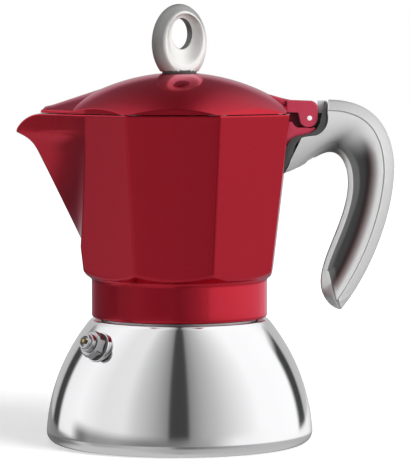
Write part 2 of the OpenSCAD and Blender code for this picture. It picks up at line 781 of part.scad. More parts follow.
// The front edge of the silver body, from the top to the lower tip, from the pin
front_edge = concat([[6.5, 7.4], [7.9, 5.5]], arc([0, 0], back_r, 14, -68, 8),
    [[-1.5, -8.1], [-3.1, -8.5], [-4.6, -9.6], [-6.1, -11.7], [-7.5, -16.4], [-9, -20.9],
     [-10.9, -24.4]]);
insert_edge = concat([[6.5, 7.4], [5.5, 2.6], [4.9, 0], [4.5, -2.2]], bracket_edge,
    [[-10.3, -14.5], [-14, -24.4]]);

function at_pin(points) = [for (p = points) [pin_x + p[0], pin_z + p[1]]];

// Everything behind the rear facet, with a gap
module facet_side() {
    side_slab([[0, 0], [facet_x(0), 0], [facet_x(2 * rim_z), 2 * rim_z], [0, 2 * rim_z]],
        4 * handle_w);
}

// Room for the ears to swing beside the nose
module ear_pocket() {
    pocket_w = ear_t + 2 * ear_side_gap;
    for (side = [-1, 1]) translate([pin_x, side * (ear_y + ear_t / 2), pin_z]) {
        intersection() {
            rotate([90, 0, 0]) cylinder(r = swing_r, h = pocket_w, center = true);
            translate([-swing_r, -far_x, -5]) cube([3 * swing_r, 2 * far_x, 30]);
        }
        translate([0, -pocket_w / 2, -slack]) cube([swing_r + 0.1, pocket_w, 2 * swing_r]);
    }
}

module handle_screw_axis() {
    translate([pin_x + screw_start[0], 0, pin_z + screw_start[1]])
        rotate([0, -screw_tilt, 0]) children();
}

module tang_slot() {
    translate([rim_x - 10, -tang_w / 2 - 0.1, pin_z - 13.6])
        cube([pin_x + 1.1 - rim_x + 10, tang_w + 0.2, 9]);
}

module handle() {
    color("lightgray") difference() {
        union() {
            difference() {
                handle_solid();
                side_slab(at_pin(concat(front_edge, [[-40, -24.4], [-40, 12], [6.5, 12]])),
                    2 * handle_w);
            }
            side_slab(at_pin([[3.7, 7.6], [7.3, 7.6], [8.6, 5], [8.6, 0.5], [5.6, 0.5],
                [4.4, 3]]), knuckle_w - 0.6);
        }
        facet_side();
        tang_slot();
        ear_pocket();
        handle_screw_axis() {
            translate([0, 0, -slack]) cylinder(r = screw_r + 0.15, h = screw_l);
            translate([0, 0, -8]) cylinder(r = screw_head_r + 0.3, h = 8);
        }
    }
}

module handle_insert() {
    color("dimgray") difference() {
        intersection() {
            side_slab(at_pin(concat(front_edge, flip(insert_edge))), insert_w);
            rotate([90, 0, 90]) linear_extrude(far_x) polygon([
                [-spine_w / 2, pin_z + ear_top], [-insert_w / 2, pin_z + 0.6 * ear_top],
                [-insert_w / 2, pin_z - insert_foot / 2], [-insert_foot_w / 2, pin_z - insert_foot],
                [insert_foot_w / 2, pin_z - insert_foot], [insert_w / 2, pin_z - insert_foot / 2],
                [insert_w / 2, pin_z + 0.6 * ear_top], [spine_w / 2, pin_z + ear_top]]);
        }
        facet_side();
        tang_slot();
        ear_pocket();
        side_slab(at_pin([[2, 12], [12, 12], [12, 0.3], [2, 0.3]]), knuckle_w - 0.4);
        bracket();
        handle_screw_axis() cylinder(r = screw_r + 0.15, h = 20, center = true);
    }
}

module handle_screw() {
    color("silver") handle_screw_axis() pan_screw(screw_l);
}

boiler_shell();
boiler_liner();
valve_washer();
valve_body();
valve_cap();
valve_seal();
valve_plunger();
valve_spring();
funnel_basket();
funnel_tube();
funnel_strainer();
gasket();
filter_plate();
collector();
hinge_pin();
lid();
knob();
knob_washer();
knob_screw();
handle();
handle_insert();
handle_screw();
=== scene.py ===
"""Stove-top moka pot: a steel-clad boiler, an octagonal red collector, a hinged lid with a ring
knob, and a hooked handle. The sections follow the pot from its foot to its handle. Sizes are in
millimetres, and each mesh is scaled to metres when it is made."""
from math import asin, atan2, cos, degrees, hypot, pi, radians, sin, sqrt

import bmesh
import bpy
from mathutils import Matrix, Vector


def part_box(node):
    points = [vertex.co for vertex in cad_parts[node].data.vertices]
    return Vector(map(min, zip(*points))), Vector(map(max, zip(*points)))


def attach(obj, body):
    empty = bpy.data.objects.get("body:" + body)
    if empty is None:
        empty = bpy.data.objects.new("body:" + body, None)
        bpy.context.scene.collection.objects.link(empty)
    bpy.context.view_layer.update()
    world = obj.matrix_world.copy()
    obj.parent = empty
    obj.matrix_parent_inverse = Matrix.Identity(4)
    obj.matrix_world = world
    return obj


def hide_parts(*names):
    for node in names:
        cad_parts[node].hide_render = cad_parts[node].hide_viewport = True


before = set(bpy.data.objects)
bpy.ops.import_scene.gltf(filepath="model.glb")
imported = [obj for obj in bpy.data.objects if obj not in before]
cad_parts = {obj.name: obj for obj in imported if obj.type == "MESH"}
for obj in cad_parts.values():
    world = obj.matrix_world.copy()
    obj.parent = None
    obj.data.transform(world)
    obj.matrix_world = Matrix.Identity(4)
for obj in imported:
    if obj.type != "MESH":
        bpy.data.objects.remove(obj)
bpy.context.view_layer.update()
MM = 0.001

# ---------------------------------------------------------------- studio
# A white table and a white room, with the camera a little above the rim. Polished metal sees the
# room's grey cards, as strips that change with the compass angle from the camera.

CAMERA_PLACE = (0.0729, -1.3005, 0.1741)
CAMERA_AIM = (0.01128, 0.00063, 0.0926)
CAMERA_LENS = 228.7


def linked(name, data):
    """A new object of some data, put into the scene."""
    made = bpy.data.objects.new(name, data)
    bpy.context.collection.objects.link(made)
    return made


camera = linked("camera", bpy.data.cameras.new("camera"))
camera.location = CAMERA_PLACE
camera.rotation_euler = (Vector(CAMERA_AIM) - camera.location).to_track_quat("-Z", "Y").to_euler()
camera.data.lens = CAMERA_LENS
camera.data.sensor_width = 36
bpy.context.scene.camera = camera
bpy.context.scene.view_settings.view_transform = "Standard"


def grey(level):
    """Linear brightness of a grey level of 0 to 255."""
    c = level / 255
    return c / 12.92 if c <= 0.04045 else ((c + 0.055) / 1.055) ** 2.4


def adder(tree):
    """A short way to add nodes to a tree, with values or links for their inputs."""
    def add(kind, inputs=(), **settings):
        node = tree.nodes.new(kind)
        for key, value in settings.items():
            setattr(node, key, value)
        for key, value in dict(inputs).items():
            if isinstance(value, bpy.types.NodeSocket):
                tree.links.new(value, node.inputs[key])
            else:
                node.inputs[key].default_value = value
        return node

    return add


def emptied(owner):
    """Clears the node tree of a material or a world, and gives the way to add nodes to it."""
    owner.use_nodes = True
    owner.node_tree.nodes.clear()
    return adder(owner.node_tree)


def ramp(node, stops):
    """Sets the stops of a ramp from pairs of a place and a brightness."""
    elements = node.color_ramp.elements
    while len(elements) > 1:
        elements.remove(elements[-1])
    for i, (place, value) in enumerate(stops):
        element = elements[0] if i == 0 else elements.new(place)
        element.position = place
        element.color = (value, value, value, 1)


# Brightness of the room by compass angle from the camera, left below zero and right above it. The
# cards above the waist share one front and those below it another, and two dark gaps stand behind.
STEEL_SHINE = 0.80
HIGH_FRONT = [(-127, 236), (-100, 247), (-72, 226), (-50, 228), (-38, 200), (-22, 168), (-10, 132),
              (-8, 62), (8, 62), (10, 132), (22, 168), (32, 186), (45, 210), (60, 232), (76, 252),
              (125, 255)]
LOW_FRONT = [(-93, 112), (-84, 140), (-58, 150), (-29, 118), (0, 120), (26, 165), (50, 242),
             (89, 252)]
LEFT_GAP = [(-180, 180), (-146, 182), (-142, 60), (-131, 60)]
RIGHT_GAP = [(130, 60), (141, 60), (145, 186), (180, 180)]
OVERHEAD = ([(-180, 100), (-168, 112), (-156, 145), (-144, 195)] + HIGH_FRONT
            + [(144, 235), (158, 195), (170, 125), (180, 100)])
CARDS = LEFT_GAP + HIGH_FRONT + RIGHT_GAP
WAIST = (LEFT_GAP + [(-127, 236), (-108, 240), (-98, 130)] + LOW_FRONT + [(125, 255)]
         + RIGHT_GAP)
SKIRTING = [(-180, 150), (-130, 120)] + LOW_FRONT + [(123, 250), (149, 240), (180, 150)]
TABLE_TOP = [(-180, 110), (-130, 100), (-110, 130), (-97, 185), (-92, 188), (-80, 160), (-60, 165),
             (-30, 180), (-9, 165), (-2, 118), (8, 104), (30, 140), (60, 172), (84, 184),
             (120, 180), (150, 170), (180, 110)]
UNDERFOOT = [(-180, 190), (-60, 190), (0, 160), (60, 180), (180, 190)]

# Each band of the room, with the heights between which it takes over from the band below
ROOM = ((UNDERFOOT, None, None), (TABLE_TOP, -0.60, -0.38), (SKIRTING, -0.16, -0.09),
        (WAIST, -0.055, -0.035), (CARDS, 0.01, 0.09), (OVERHEAD, 0.32, 0.44))
ROOM_GREY = 0.24

world = bpy.data.worlds.new("studio")
bpy.context.scene.world = world
add = emptied(world)
facing = atan2(CAMERA_PLACE[1] - CAMERA_AIM[1], CAMERA_PLACE[0] - CAMERA_AIM[0])
direction = add("ShaderNodeSeparateXYZ", {0: add("ShaderNodeTexCoord").outputs["Generated"]})
angle = add("ShaderNodeMath", {0: direction.outputs["Y"], 1: direction.outputs["X"]},
            operation="ARCTAN2")
turned_angle = add("ShaderNodeMath", {0: angle.outputs[0], 1: facing}, operation="SUBTRACT")
wrapped = add("ShaderNodeMath", {0: turned_angle.outputs[0], 1: pi, 2: -pi}, operation="WRAP")
share = add("ShaderNodeMapRange", {0: wrapped.outputs[0], 1: -pi, 2: pi, 3: 0.0, 4: 1.0})
room = None
for stops, low, high in ROOM:
    band = add("ShaderNodeValToRGB", {0: share.outputs[0]})
    ramp(band, [(0.5 + a / 360, grey(g) / STEEL_SHINE) for a, g in stops])
    if room:
        height = add("ShaderNodeMapRange",
                     {0: direction.outputs["Z"], 1: low, 2: high, 3: 0.0, 4: 1.0})
        band = add("ShaderNodeMix", {0: height.outputs[0], 6: room, 7: band.outputs[0]},
                   data_type="RGBA")
    room = band.outputs[2 if room else 0]
rays = add("ShaderNodeLightPath")
seen = add("ShaderNodeMix", {0: rays.outputs["Is Glossy Ray"],
                             6: (ROOM_GREY, ROOM_GREY, ROOM_GREY, 1), 7: room}, data_type="RGBA")
shown = add("ShaderNodeMix", {0: rays.outputs["Is Camera Ray"], 6: seen.outputs[2],
                              7: (1, 1, 1, 1)}, data_type="RGBA")
background = add("ShaderNodeBackground", {"Color": shown.outputs[2], "Strength": 1.0})
add("ShaderNodeOutputWorld", {"Surface": background.outputs[0]})

# Far from the pot the table shines white to the camera, and near it the pot's shadow shows
TABLE_HALF = 3.0
TABLE_Z = -0.0002
TABLE_GREY = 0.78
SHADOW_NEAR = 0.15
SHADOW_FAR = 0.50
GLOW_NEAR = 0.42

table_mesh = bpy.data.meshes.new("table")
table_mesh.from_pydata([(x * TABLE_HALF, y * TABLE_HALF, TABLE_Z) for x, y in
                        ((-1, -1), (1, -1), (1, 1), (-1, 1))], [], [(0, 1, 2, 3)])
table = linked("table", table_mesh)
table_white = bpy.data.materials.new("table_white")
add = emptied(table_white)
matt = add("ShaderNodeBsdfDiffuse", {"Color": (TABLE_GREY, TABLE_GREY, TABLE_GREY, 1)})
rays = add("ShaderNodeLightPath")
away = add("ShaderNodeVectorMath", {0: add("ShaderNodeTexCoord").outputs["Object"]},
           operation="LENGTH")
white = add("ShaderNodeMapRange", {0: away.outputs["Value"], 1: SHADOW_NEAR, 2: SHADOW_FAR,
                                   3: GLOW_NEAR, 4: 1.0})
lift = add("ShaderNodeMath", {0: rays.outputs["Is Camera Ray"], 1: white.outputs[0]},
           operation="MULTIPLY")
glow = add("ShaderNodeEmission", {"Color": (1, 1, 1, 1), "Strength": lift.outputs[0]})
both = add("ShaderNodeAddShader", {0: matt.outputs[0], 1: glow.outputs[0]})
clear = add("ShaderNodeBsdfTransparent")
seen = add("ShaderNodeMixShader", {0: rays.outputs["Is Glossy Ray"], 1: both.outputs[0],
                                   2: clear.outputs[0]})
add("ShaderNodeOutputMaterial", {"Surface": seen.outputs[0]})
table_mesh.materials.append(table_white)

LAMP_AIM = Vector((0, 0, 0.08))

for name, place, size, power in (("lamp_right", (1.0, -0.9, 0.5), 0.8, 27.0),
                                 ("lamp_top", (0.0, -0.1, 1.3), 0.8, 4.0)):
    lamp = linked(name, bpy.data.lights.new(name, "AREA"))
    lamp.location = place
    lamp.rotation_euler = (LAMP_AIM - lamp.location).to_track_quat("-Z", "Y").to_euler()
    lamp.data.size = size
    lamp.data.energy = power
    lamp.visible_glossy = False
    lamp.visible_camera = False

# ---------------------------------------------------------------- boiler shell
# A bell drawn from polished stainless steel round the water vessel, with a flat pad where the
# safety valve is screwed in. It hides the aluminium inside it and stands on its rounded base.

BOILER_R = 59.0
SHOULDER_Z = (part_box("boiler_shell")[1] / MM).z
SHOULDER_R = 39.3
BASE_CORNER_R = 5.0
SHELL_WALL = 1.0
NECK_R = 34.0
BELL_R = ((BOILER_R - SHOULDER_R) ** 2 + SHOULDER_Z ** 2) / (2 * (BOILER_R - SHOULDER_R))
BELL_X = BOILER_R - BELL_R

VALVE_TURN = radians(225)
VALVE_TILT = radians(22)
VALVE_Z = SHOULDER_Z - 9.9
VALVE_SHANK_R = 4.0
PAD_R = 6.7
PAD_TOP = 1.33


def name_inputs(tree, kind, values):
    """Gives a node tree's inputs of one kind their names and their first values."""
    for label, value in values.items():
        tree.interface.new_socket(label, in_out="INPUT", socket_type=kind).default_value = value


def grain_tree(name, inputs, output):
    """A shader group from numbers to one mask, with the way to add nodes to it, and its inputs."""
    tree = bpy.data.node_groups.new(name, "ShaderNodeTree")
    name_inputs(tree, "NodeSocketFloat", inputs)
    tree.interface.new_socket(output, in_out="OUTPUT", socket_type="NodeSocketFloat")
    add = adder(tree)
    return tree, add, add("NodeGroupInput").outputs


# Rings left by the lathe: lines of one height round the axis, with a little waviness
turning_lines, add, given = grain_tree("turning_lines", {"Spacing": 0.4, "Wander": 0.1}, "Lines")
place = add("ShaderNodeSeparateXYZ", {0: add("ShaderNodeTexCoord").outputs["Object"]})
flat = add("ShaderNodeVectorMath", {0: add("ShaderNodeTexCoord").outputs["Object"], 1: (1, 1, 0)},
           operation="MULTIPLY")
radius = add("ShaderNodeVectorMath", {0: flat.outputs[0]}, operation="LENGTH")
along = add("ShaderNodeMath", {0: place.outputs["Z"], 1: radius.outputs["Value"]},
            operation="SUBTRACT")
pitch = add("ShaderNodeMath", {0: 1 / MM, 1: given["Spacing"]}, operation="DIVIDE")
stretched = add("ShaderNodeMath", {0: along.outputs[0], 1: pitch.outputs[0]}, operation="MULTIPLY")
drift = add("ShaderNodeTexNoise", {"Vector": add("ShaderNodeTexCoord").outputs["Object"],
                                   "Scale": 25.0, "Detail": 1.0})
wander = add("ShaderNodeMath", {0: drift.outputs[0], 1: given["Wander"], 2: stretched.outputs[0]},
             operation="MULTIPLY_ADD")
lines = add("ShaderNodeTexNoise", {"W": wander.outputs[0], "Scale": 1.0, "Detail": 3.0},
            noise_dimensions="1D")
add("NodeGroupOutput", {"Lines": lines.outputs[0]})

# Where hands and cloths have dulled a surface: soft clouds with a few clear patches
handling, add, given = grain_tree("handling", {"Size": 30.0, "Contrast": 1.0}, "Dulled")
scale = add("ShaderNodeMath", {0: 1 / MM, 1: given["Size"]}, operation="DIVIDE")
clouds = add("ShaderNodeTexNoise", {"Vector": add("ShaderNodeTexCoord").outputs["Object"],
                                    "Scale": scale.outputs[0], "Detail": 3.0, "Roughness": 0.55})
centred = add("ShaderNodeMath", {0: clouds.outputs[0], 1: 0.5}, operation="SUBTRACT")
dulled = add("ShaderNodeMath", {0: centred.outputs[0], 1: given["Contrast"], 2: 0.5},
             operation="MULTIPLY_ADD", use_clamp=True)
add("NodeGroupOutput", {"Dulled": dulled.outputs[0]})

# The fine, even grain of a cast, sprayed or moulded surface
skin_grain, add, given = grain_tree("skin_grain", {"Size": 0.3}, "Grain")
scale = add("ShaderNodeMath", {0: 1 / MM, 1: given["Size"]}, operation="DIVIDE")
grains = add("ShaderNodeTexNoise", {"Vector": add("ShaderNodeTexCoord").outputs["Object"],
                                    "Scale": scale.outputs[0], "Detail": 2.0})
add("NodeGroupOutput", {"Grain": grains.outputs[0]})


def finish(name, colours, roughness, metallic, surface, patch, bump, coat=(0.0, 0.1),
           edge_tint=(1.0, 1.0, 1.0), marks=None):
    """A finish between two colours and two roughnesses, over dulled patches. surface is the group
    that gives its grain, with that group's values, and bump the grain's depth in millimetres.
    coat is the weight and roughness of a clear coat, and marks names a surface attribute of painted
    shade that darkens the colour."""
    material = bpy.data.materials.new(name)
    add = emptied(material)
    dulled = add("ShaderNodeGroup", node_tree=handling)
    dulled.inputs["Size"].default_value = patch
    tint = add("ShaderNodeMix", {0: dulled.outputs[0], 6: (*colours[0], 1), 7: (*colours[1], 1)},
               data_type="RGBA")
    rough = add("ShaderNodeMapRange", {0: dulled.outputs[0], 3: roughness[0], 4: roughness[1]})
    texture = add("ShaderNodeGroup", node_tree=surface[0])
    for label, value in surface[1].items():
        texture.inputs[label].default_value = value
    relief = add("ShaderNodeBump", {"Height": texture.outputs[0], "Distance": bump * MM,
                                    "Strength": 1.0})
    colour = tint.outputs[2]
    # Painted shade: the marks attribute darkens the colour where light barely reaches
    if marks:
        shade = add("ShaderNodeAttribute", attribute_name=marks)
        light = add("ShaderNodeMath", {0: 1.0, 1: shade.outputs["Fac"]}, operation="SUBTRACT")
        toned = add("ShaderNodeVectorMath", {0: colour, "Scale": light.outputs[0]},
                    operation="SCALE")
        colour = toned.outputs[0]
    shader = add("ShaderNodeBsdfPrincipled",
                 {"Base Color": colour, "Roughness": rough.outputs[0], "Metallic": metallic,
                  "Coat Weight": coat[0], "Coat Roughness": coat[1],
                  "Specular Tint": (*edge_tint, 1), "Normal": relief.outputs[0]})
    add("ShaderNodeOutputMaterial", {"Surface": shader.outputs[0]})
    return material


def arc(centre, radius, start, end, steps):
    """Points of an arc between two angles in degrees."""
    return [(centre[0] + radius * cos(radians(start + (end - start) * k / steps)),
             centre[1] + radius * sin(radians(start + (end - start) * k / steps)))
            for k in range(steps + 1)]


def woven(rings, loop=False):
    """Faces over rings of equal length, and of one point where a ring closes on a pole. The rings
    run round to the left, seen from outside, and loop joins the last ring to the first."""
    starts, count = [], 0
    for ring in rings:
        starts.append(count)
        count += len(ring)
    faces, rows = [], []
    for k in range(len(rings) if loop else len(rings) - 1):
        up = (k + 1) % len(rings)
        n = max(len(rings[k]), len(rings[up]))
        for j in range(n):
            i = (j + 1) % n
            low = [starts[k] + j, starts[k] + i] if len(rings[k]) > 1 else [starts[k]]
            high = [starts[up] + i, starts[up] + j] if len(rings[up]) > 1 else [starts[up]]
            faces.append(low + high)
            rows.append(k)
    return faces, rows


def smoothed(name, mesh, sharp=32):
    """An object of a mesh, smooth except at edges sharper than an angle."""
    mesh.shade_smooth()
    mesh.set_sharp_from_angle(angle=radians(sharp))
    return linked(name, mesh)


def solid(name, rings, loop=False, sharp=32, marks=None):
    """An object over rings in millimetres, smooth except at edges sharper than an angle. marks
    gives the material number of each row of faces."""
    faces, rows = woven(rings, loop)
    mesh = bpy.data.meshes.new(name)
    mesh.from_pydata([Vector(p) * MM for ring in rings for p in ring], [], faces)
    if marks:
        for face, row in zip(mesh.polygons, rows):
            face.material_index = marks[row]
    return smoothed(name, mesh, sharp)


def spun(outline, n):
    """Rings of an outline of (radius, height) turned about the upright axis."""
    return [[(r * cos(2 * pi * j / n), r * sin(2 * pi * j / n), z) for j in range(n)] if r > 1e-6
            else [(0, 0, z)] for r, z in outline]


def moved(rings, place):
    """Rings carried by a matrix."""
    return [[tuple(place @ Vector(p)) for p in ring] for ring in rings]


def settle(piece):
    """Fixes a piece's modifiers into its mesh."""
    graph = bpy.context.evaluated_depsgraph_get()
    mesh = bpy.data.meshes.new_from_object(piece.evaluated_get(graph))
    piece.modifiers.clear()
    piece.data = mesh
    mesh.name = piece.name


def cut(piece, *tools, operation="DIFFERENCE", sharp=32):
    """Cuts a piece with tools, or joins them to it, and removes the tools."""
    for tool in tools:
        step = piece.modifiers.new("cut", "BOOLEAN")
        step.operation = operation
        step.solver = "EXACT"
        step.object = tool
        settle(piece)
        bpy.data.objects.remove(tool)
    piece.data.set_sharp_from_angle(angle=radians(sharp))


def weigh(piece):
    """Lets a piece's large faces decide its shading."""
    step = piece.modifiers.new("weighted", "WEIGHTED_NORMAL")
    step.keep_sharp = True


def fit(piece, body, slot, materials, *nodes):
    """Gives a finished piece its materials and its body, and hides the imported nodes that it
    stands for. slot is not used.
    """
    numbers = [face.material_index for face in piece.data.polygons]
    piece.data.materials.clear()
    for material in materials:
        piece.data.materials.append(material)
    piece.data.polygons.foreach_set("material_index", [min(n, len(materials) - 1) for n in numbers])
    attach(piece, body)
    if nodes:
        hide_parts(*nodes)


def coat_node(material, *nodes):
    """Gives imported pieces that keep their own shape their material."""
    for node in nodes:
        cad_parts[node].data.materials.clear()
        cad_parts[node].data.materials.append(material)


def bell_outline(inset, steps=48):
    """Half outline of the bell from its flat base up to its shoulder, moved inwards."""
    r, corner = BELL_R - inset, BASE_CORNER_R - inset / 2
    corner_z = inset + corner
    corner_x = BELL_X + sqrt((r - corner) ** 2 - corner_z ** 2)
    turn = degrees(asin(corner_z / (r - corner)))
    top = degrees(asin((SHOULDER_Z - inset) / r))
    return (arc((corner_x, corner_z), corner, -90, turn, 14)
            + arc((BELL_X, 0), r, turn + 0.4, top, steps))


valve_place = (Matrix.Rotation(VALVE_TURN, 4, "Z")
               @ Matrix.Translation((BELL_X + sqrt(BELL_R ** 2 - VALVE_Z ** 2), 0, VALVE_Z))
               @ Matrix.Rotation(pi / 2 - VALVE_TILT, 4, "Y"))


def tool_bar(radius, start, end, place, n=64):
    """A plain round cutter along a place's own upright axis."""
    outline = [(0, start), (radius, start), (radius, end), (0, end)]
    return solid("tool", moved(spun(outline, n), place))


SHOULDER_ROUND = 0.9
SHELL_STEPS = 224
outside = bell_outline(0)
top_x, top_z = outside.pop()
outside += [(top_x + 0.28, top_z - 0.55), (top_x + 0.02, top_z - 0.16),
            (top_x - 0.4, top_z), (top_x - SHOULDER_ROUND, top_z)]
mouth = [(NECK_R, SHOULDER_Z), (NECK_R, SHOULDER_Z - SHELL_WALL)]
inside = bell_outline(SHELL_WALL)[::-1]
shell = solid("steel_bell",
              spun([(0, 0)] + outside + mouth + inside + [(0, SHELL_WALL)], SHELL_STEPS))


def bell_depth(angle, radius, sink):
    """How far along the valve's axis the bell's skin lies, under a point beside the axis."""
    s = 0.0
    for _ in range(8):
        x, y, z = valve_place @ Vector((radius * cos(angle), radius * sin(angle), s))
        s -= hypot(hypot(x, y) - BELL_X, z) - BELL_R + sink
    return s


PAD_STEPS = 72
PAD_ROOT = 0.6
round_pad = [2 * pi * j / PAD_STEPS for j in range(PAD_STEPS)]
pad_rings = [[(r * cos(a), r * sin(a), bell_depth(a, r, PAD_ROOT) if s is None else s)
              for a in round_pad]
             for r, s in ((VALVE_SHANK_R, None), (PAD_R, None), (PAD_R, PAD_TOP - 0.4),
                          (PAD_R - 0.12, PAD_TOP - 0.12), (PAD_R - 0.4, PAD_TOP),
                          (VALVE_SHANK_R, PAD_TOP))]
cut(shell, solid("pad", moved(pad_rings, valve_place), loop=True), operation="UNION")
cut(shell, tool_bar(VALVE_SHANK_R, -10, 10, valve_place))
polished_steel = finish("polished_steel", ((0.80, 0.80, 0.81), (0.77, 0.77, 0.78)), (0.07, 0.12),
                        1.0, (turning_lines, {"Spacing": 0.5, "Wander": 2.0}), patch=45.0,
                        bump=0.002)
weigh(shell)
fit(shell, "boiler", "polished_steel", [polished_steel], "boiler_shell")

# ---------------------------------------------------------------- water vessel
# The cast aluminium vessel inside the bell, with the turned neck that the collector screws onto.
# The thread is cut into the neck, so its crests are flush with the neck's own radius.

NECK_TOP = (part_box("boiler_liner")[1] / MM).z
NECK_WALL = 2.0
THREAD_PITCH = 3.0
THREAD_DEPTH = 0.8
LINER_WALL = 1.8
LINER_INSET = SHELL_WALL + LINER_WALL
LINER_STEPS = 30
ROUND_STEPS = 128

liner_skin = [(0, SHELL_WALL)] + bell_outline(SHELL_WALL, LINER_STEPS)
liner_top = SHOULDER_Z - SHELL_WALL
thread_root = NECK_R - THREAD_DEPTH
neck = [(NECK_R, liner_top), (NECK_R, SHOULDER_Z + 1.2), (thread_root, SHOULDER_Z + 1.8),
        (thread_root, NECK_TOP - 0.8), (thread_root - 0.4, NECK_TOP),
        (NECK_R - NECK_WALL + 0.3, NECK_TOP), (NECK_R - NECK_WALL, NECK_TOP - 0.3),
        (NECK_R - NECK_WALL, SHOULDER_Z - LINER_INSET)]
hollow = bell_outline(LINER_INSET, LINER_STEPS)[::-1]
vessel = solid("water_vessel",
               spun(liner_skin + neck + hollow + [(0, LINER_INSET)], ROUND_STEPS))


def coil_tree():
    """Geometry nodes for a wire that climbs round the upright axis, as a thread or a spring."""
    tree = bpy.data.node_groups.new("climbing_wire", "GeometryNodeTree")
    name_inputs(tree, "NodeSocketFloat", {"Radius": 0.03, "Pitch": 0.003, "Turns": 4.0, "Foot": 0.0,
                                          "Wire Width": 0.0006, "Wire Height": 0.0006})
    name_inputs(tree, "NodeSocketInt", {"Steps": 96, "Wire Sides": 10})
    tree.interface.new_socket("Finish", in_out="INPUT", socket_type="NodeSocketMaterial")
    tree.interface.new_socket("Wire", in_out="OUTPUT", socket_type="NodeSocketGeometry")
    add = adder(tree)
    given = add("NodeGroupInput").outputs
    rise = add("ShaderNodeMath", {0: given["Turns"], 1: given["Pitch"]}, operation="MULTIPLY")
    helix = add("GeometryNodeCurveSpiral",
                {"Resolution": given["Steps"], "Rotations": given["Turns"],
                 "Start Radius": given["Radius"], "End Radius": given["Radius"],
                 "Height": rise.outputs[0], "Reverse": False})
    foot = add("ShaderNodeCombineXYZ", {"Z": given["Foot"]})
    lifted = add("GeometryNodeTransform", {"Geometry": helix.outputs[0],
                                           "Translation": foot.outputs[0]})
    upright = add("GeometryNodeSetCurveNormal", {"Curve": lifted.outputs[0]}, mode="Z_UP")
    circle = add("GeometryNodeCurvePrimitiveCircle",
                 {"Resolution": given["Wire Sides"], "Radius": 1.0})
    size = add("ShaderNodeCombineXYZ",
               {"X": given["Wire Height"], "Y": given["Wire Width"], "Z": 1.0})
    wire = add("GeometryNodeTransform", {"Geometry": circle.outputs[0], "Scale": size.outputs[0]})
    swept = add("GeometryNodeCurveToMesh", {"Curve": upright.outputs[0],
                                            "Profile Curve": wire.outputs[0], "Fill Caps": True})
    real = add("GeometryNodeRealizeInstances", {0: swept.outputs[0]})
    painted = add("GeometryNodeSetMaterial", {"Geometry": real.outputs[0],
                                              "Material": given["Finish"]})
    add("NodeGroupOutput", {"Wire": painted.outputs[0]})
    return tree


climbing_wire = coil_tree()


def turn_outwards(piece):
    """Makes every face of a closed piece look outwards."""
    work = bmesh.new()
    work.from_mesh(piece.data)
    bmesh.ops.recalc_face_normals(work, faces=work.faces)
    work.to_mesh(piece.data)
    work.free()


def coil(name, material, place, **sizes):
    """A wire from the tree above, as a plain mesh in its place."""
    made = linked(name, bpy.data.meshes.new(name))
    step = made.modifiers.new("wire", "NODES")
    step.node_group = climbing_wire
    wanted = {**{key.replace("_", " "): value for key, value in sizes.items()}, "Finish": material}
    for item in climbing_wire.interface.items_tree:
        if item.item_type == "SOCKET" and item.in_out == "INPUT" and item.name in wanted:
            step[item.identifier] = wanted[item.name]
    settle(made)
    turn_outwards(made)
    spot = place.copy()
    spot.translation *= MM
    made.data.transform(spot)
    made.data.shade_smooth()
    made.data.set_sharp_from_angle(angle=radians(50))
    return made


bare_aluminium = finish("bare_aluminium", ((0.66, 0.66, 0.67), (0.56, 0.56, 0.57)), (0.30, 0.44),
                        1.0, (turning_lines, {"Spacing": 0.6, "Wander": 3.0}), patch=18.0,
                        bump=0.012)
neck_thread = coil("neck_thread", bare_aluminium, Matrix(), Radius=(thread_root - 0.1) * MM,
                   Pitch=THREAD_PITCH * MM, Turns=3.1, Foot=(SHOULDER_Z + 2.8) * MM, Steps=120,
                   Wire_Width=(THREAD_DEPTH + 0.1) * MM, Wire_Height=0.85 * MM, Wire_Sides=8)
cut(vessel, tool_bar(VALVE_SHANK_R, -12, 6, valve_place))
fit(vessel, "boiler", "bare_aluminium", [bare_aluminium], "boiler_liner")
fit(neck_thread, "boiler", "bare_aluminium", [bare_aluminium])

# ---------------------------------------------------------------- safety valve
# A nickel-plated hexagon screwed into the bell over a rubber washer. Its cap holds a spring that
# presses a brass plunger and its seal on the bore; the plunger's end shows in the cap's recess.

VALVE_HEX_R = 5.5
VALVE_DEEP = 8.0
WASHER_T = 0.8
HEX_T = 4.0
HEX_FOOT = PAD_TOP + WASHER_T
CAP_FOOT = HEX_FOOT + HEX_T
CAP_T = 3.2
VALVE_BORE_R = 2.8
STEM_R = 0.95
HEX_POINTS = 72
HEX_HALF = pi / 6
HEX_BLUNT = 0.25
HEX_CONE = 0.62
VALVE_FLOOR = 2 - VALVE_DEEP


def hex_ring(flat_r, s):
    """A hexagon across the valve's axis, with slightly blunted corners."""
    ring = []
    for k in range(HEX_POINTS):
        a = 2 * pi * k / HEX_POINTS
        off = (a + HEX_HALF) % (2 * HEX_HALF) - HEX_HALF
        r = min(flat_r / cos(off), flat_r / cos(HEX_HALF) - HEX_BLUNT)
        ring.append((r * cos(a + HEX_HALF), r * sin(a + HEX_HALF), s))
    return ring


def hex_circle(r, s):
    """A circle of as many points as the hexagon."""
    turns = [2 * pi * k / HEX_POINTS + HEX_HALF for k in range(HEX_POINTS)]
    return [(r * cos(a), r * sin(a), s) for a in turns]


def under_cone(ring):
    """A hexagon's ring sunk where the chamfer's cone cuts its corners."""
    return [(x, y, min(z, CAP_FOOT - (hypot(x, y) - VALVE_HEX_R + 0.3) * HEX_CONE))
            for x, y, z in ring]


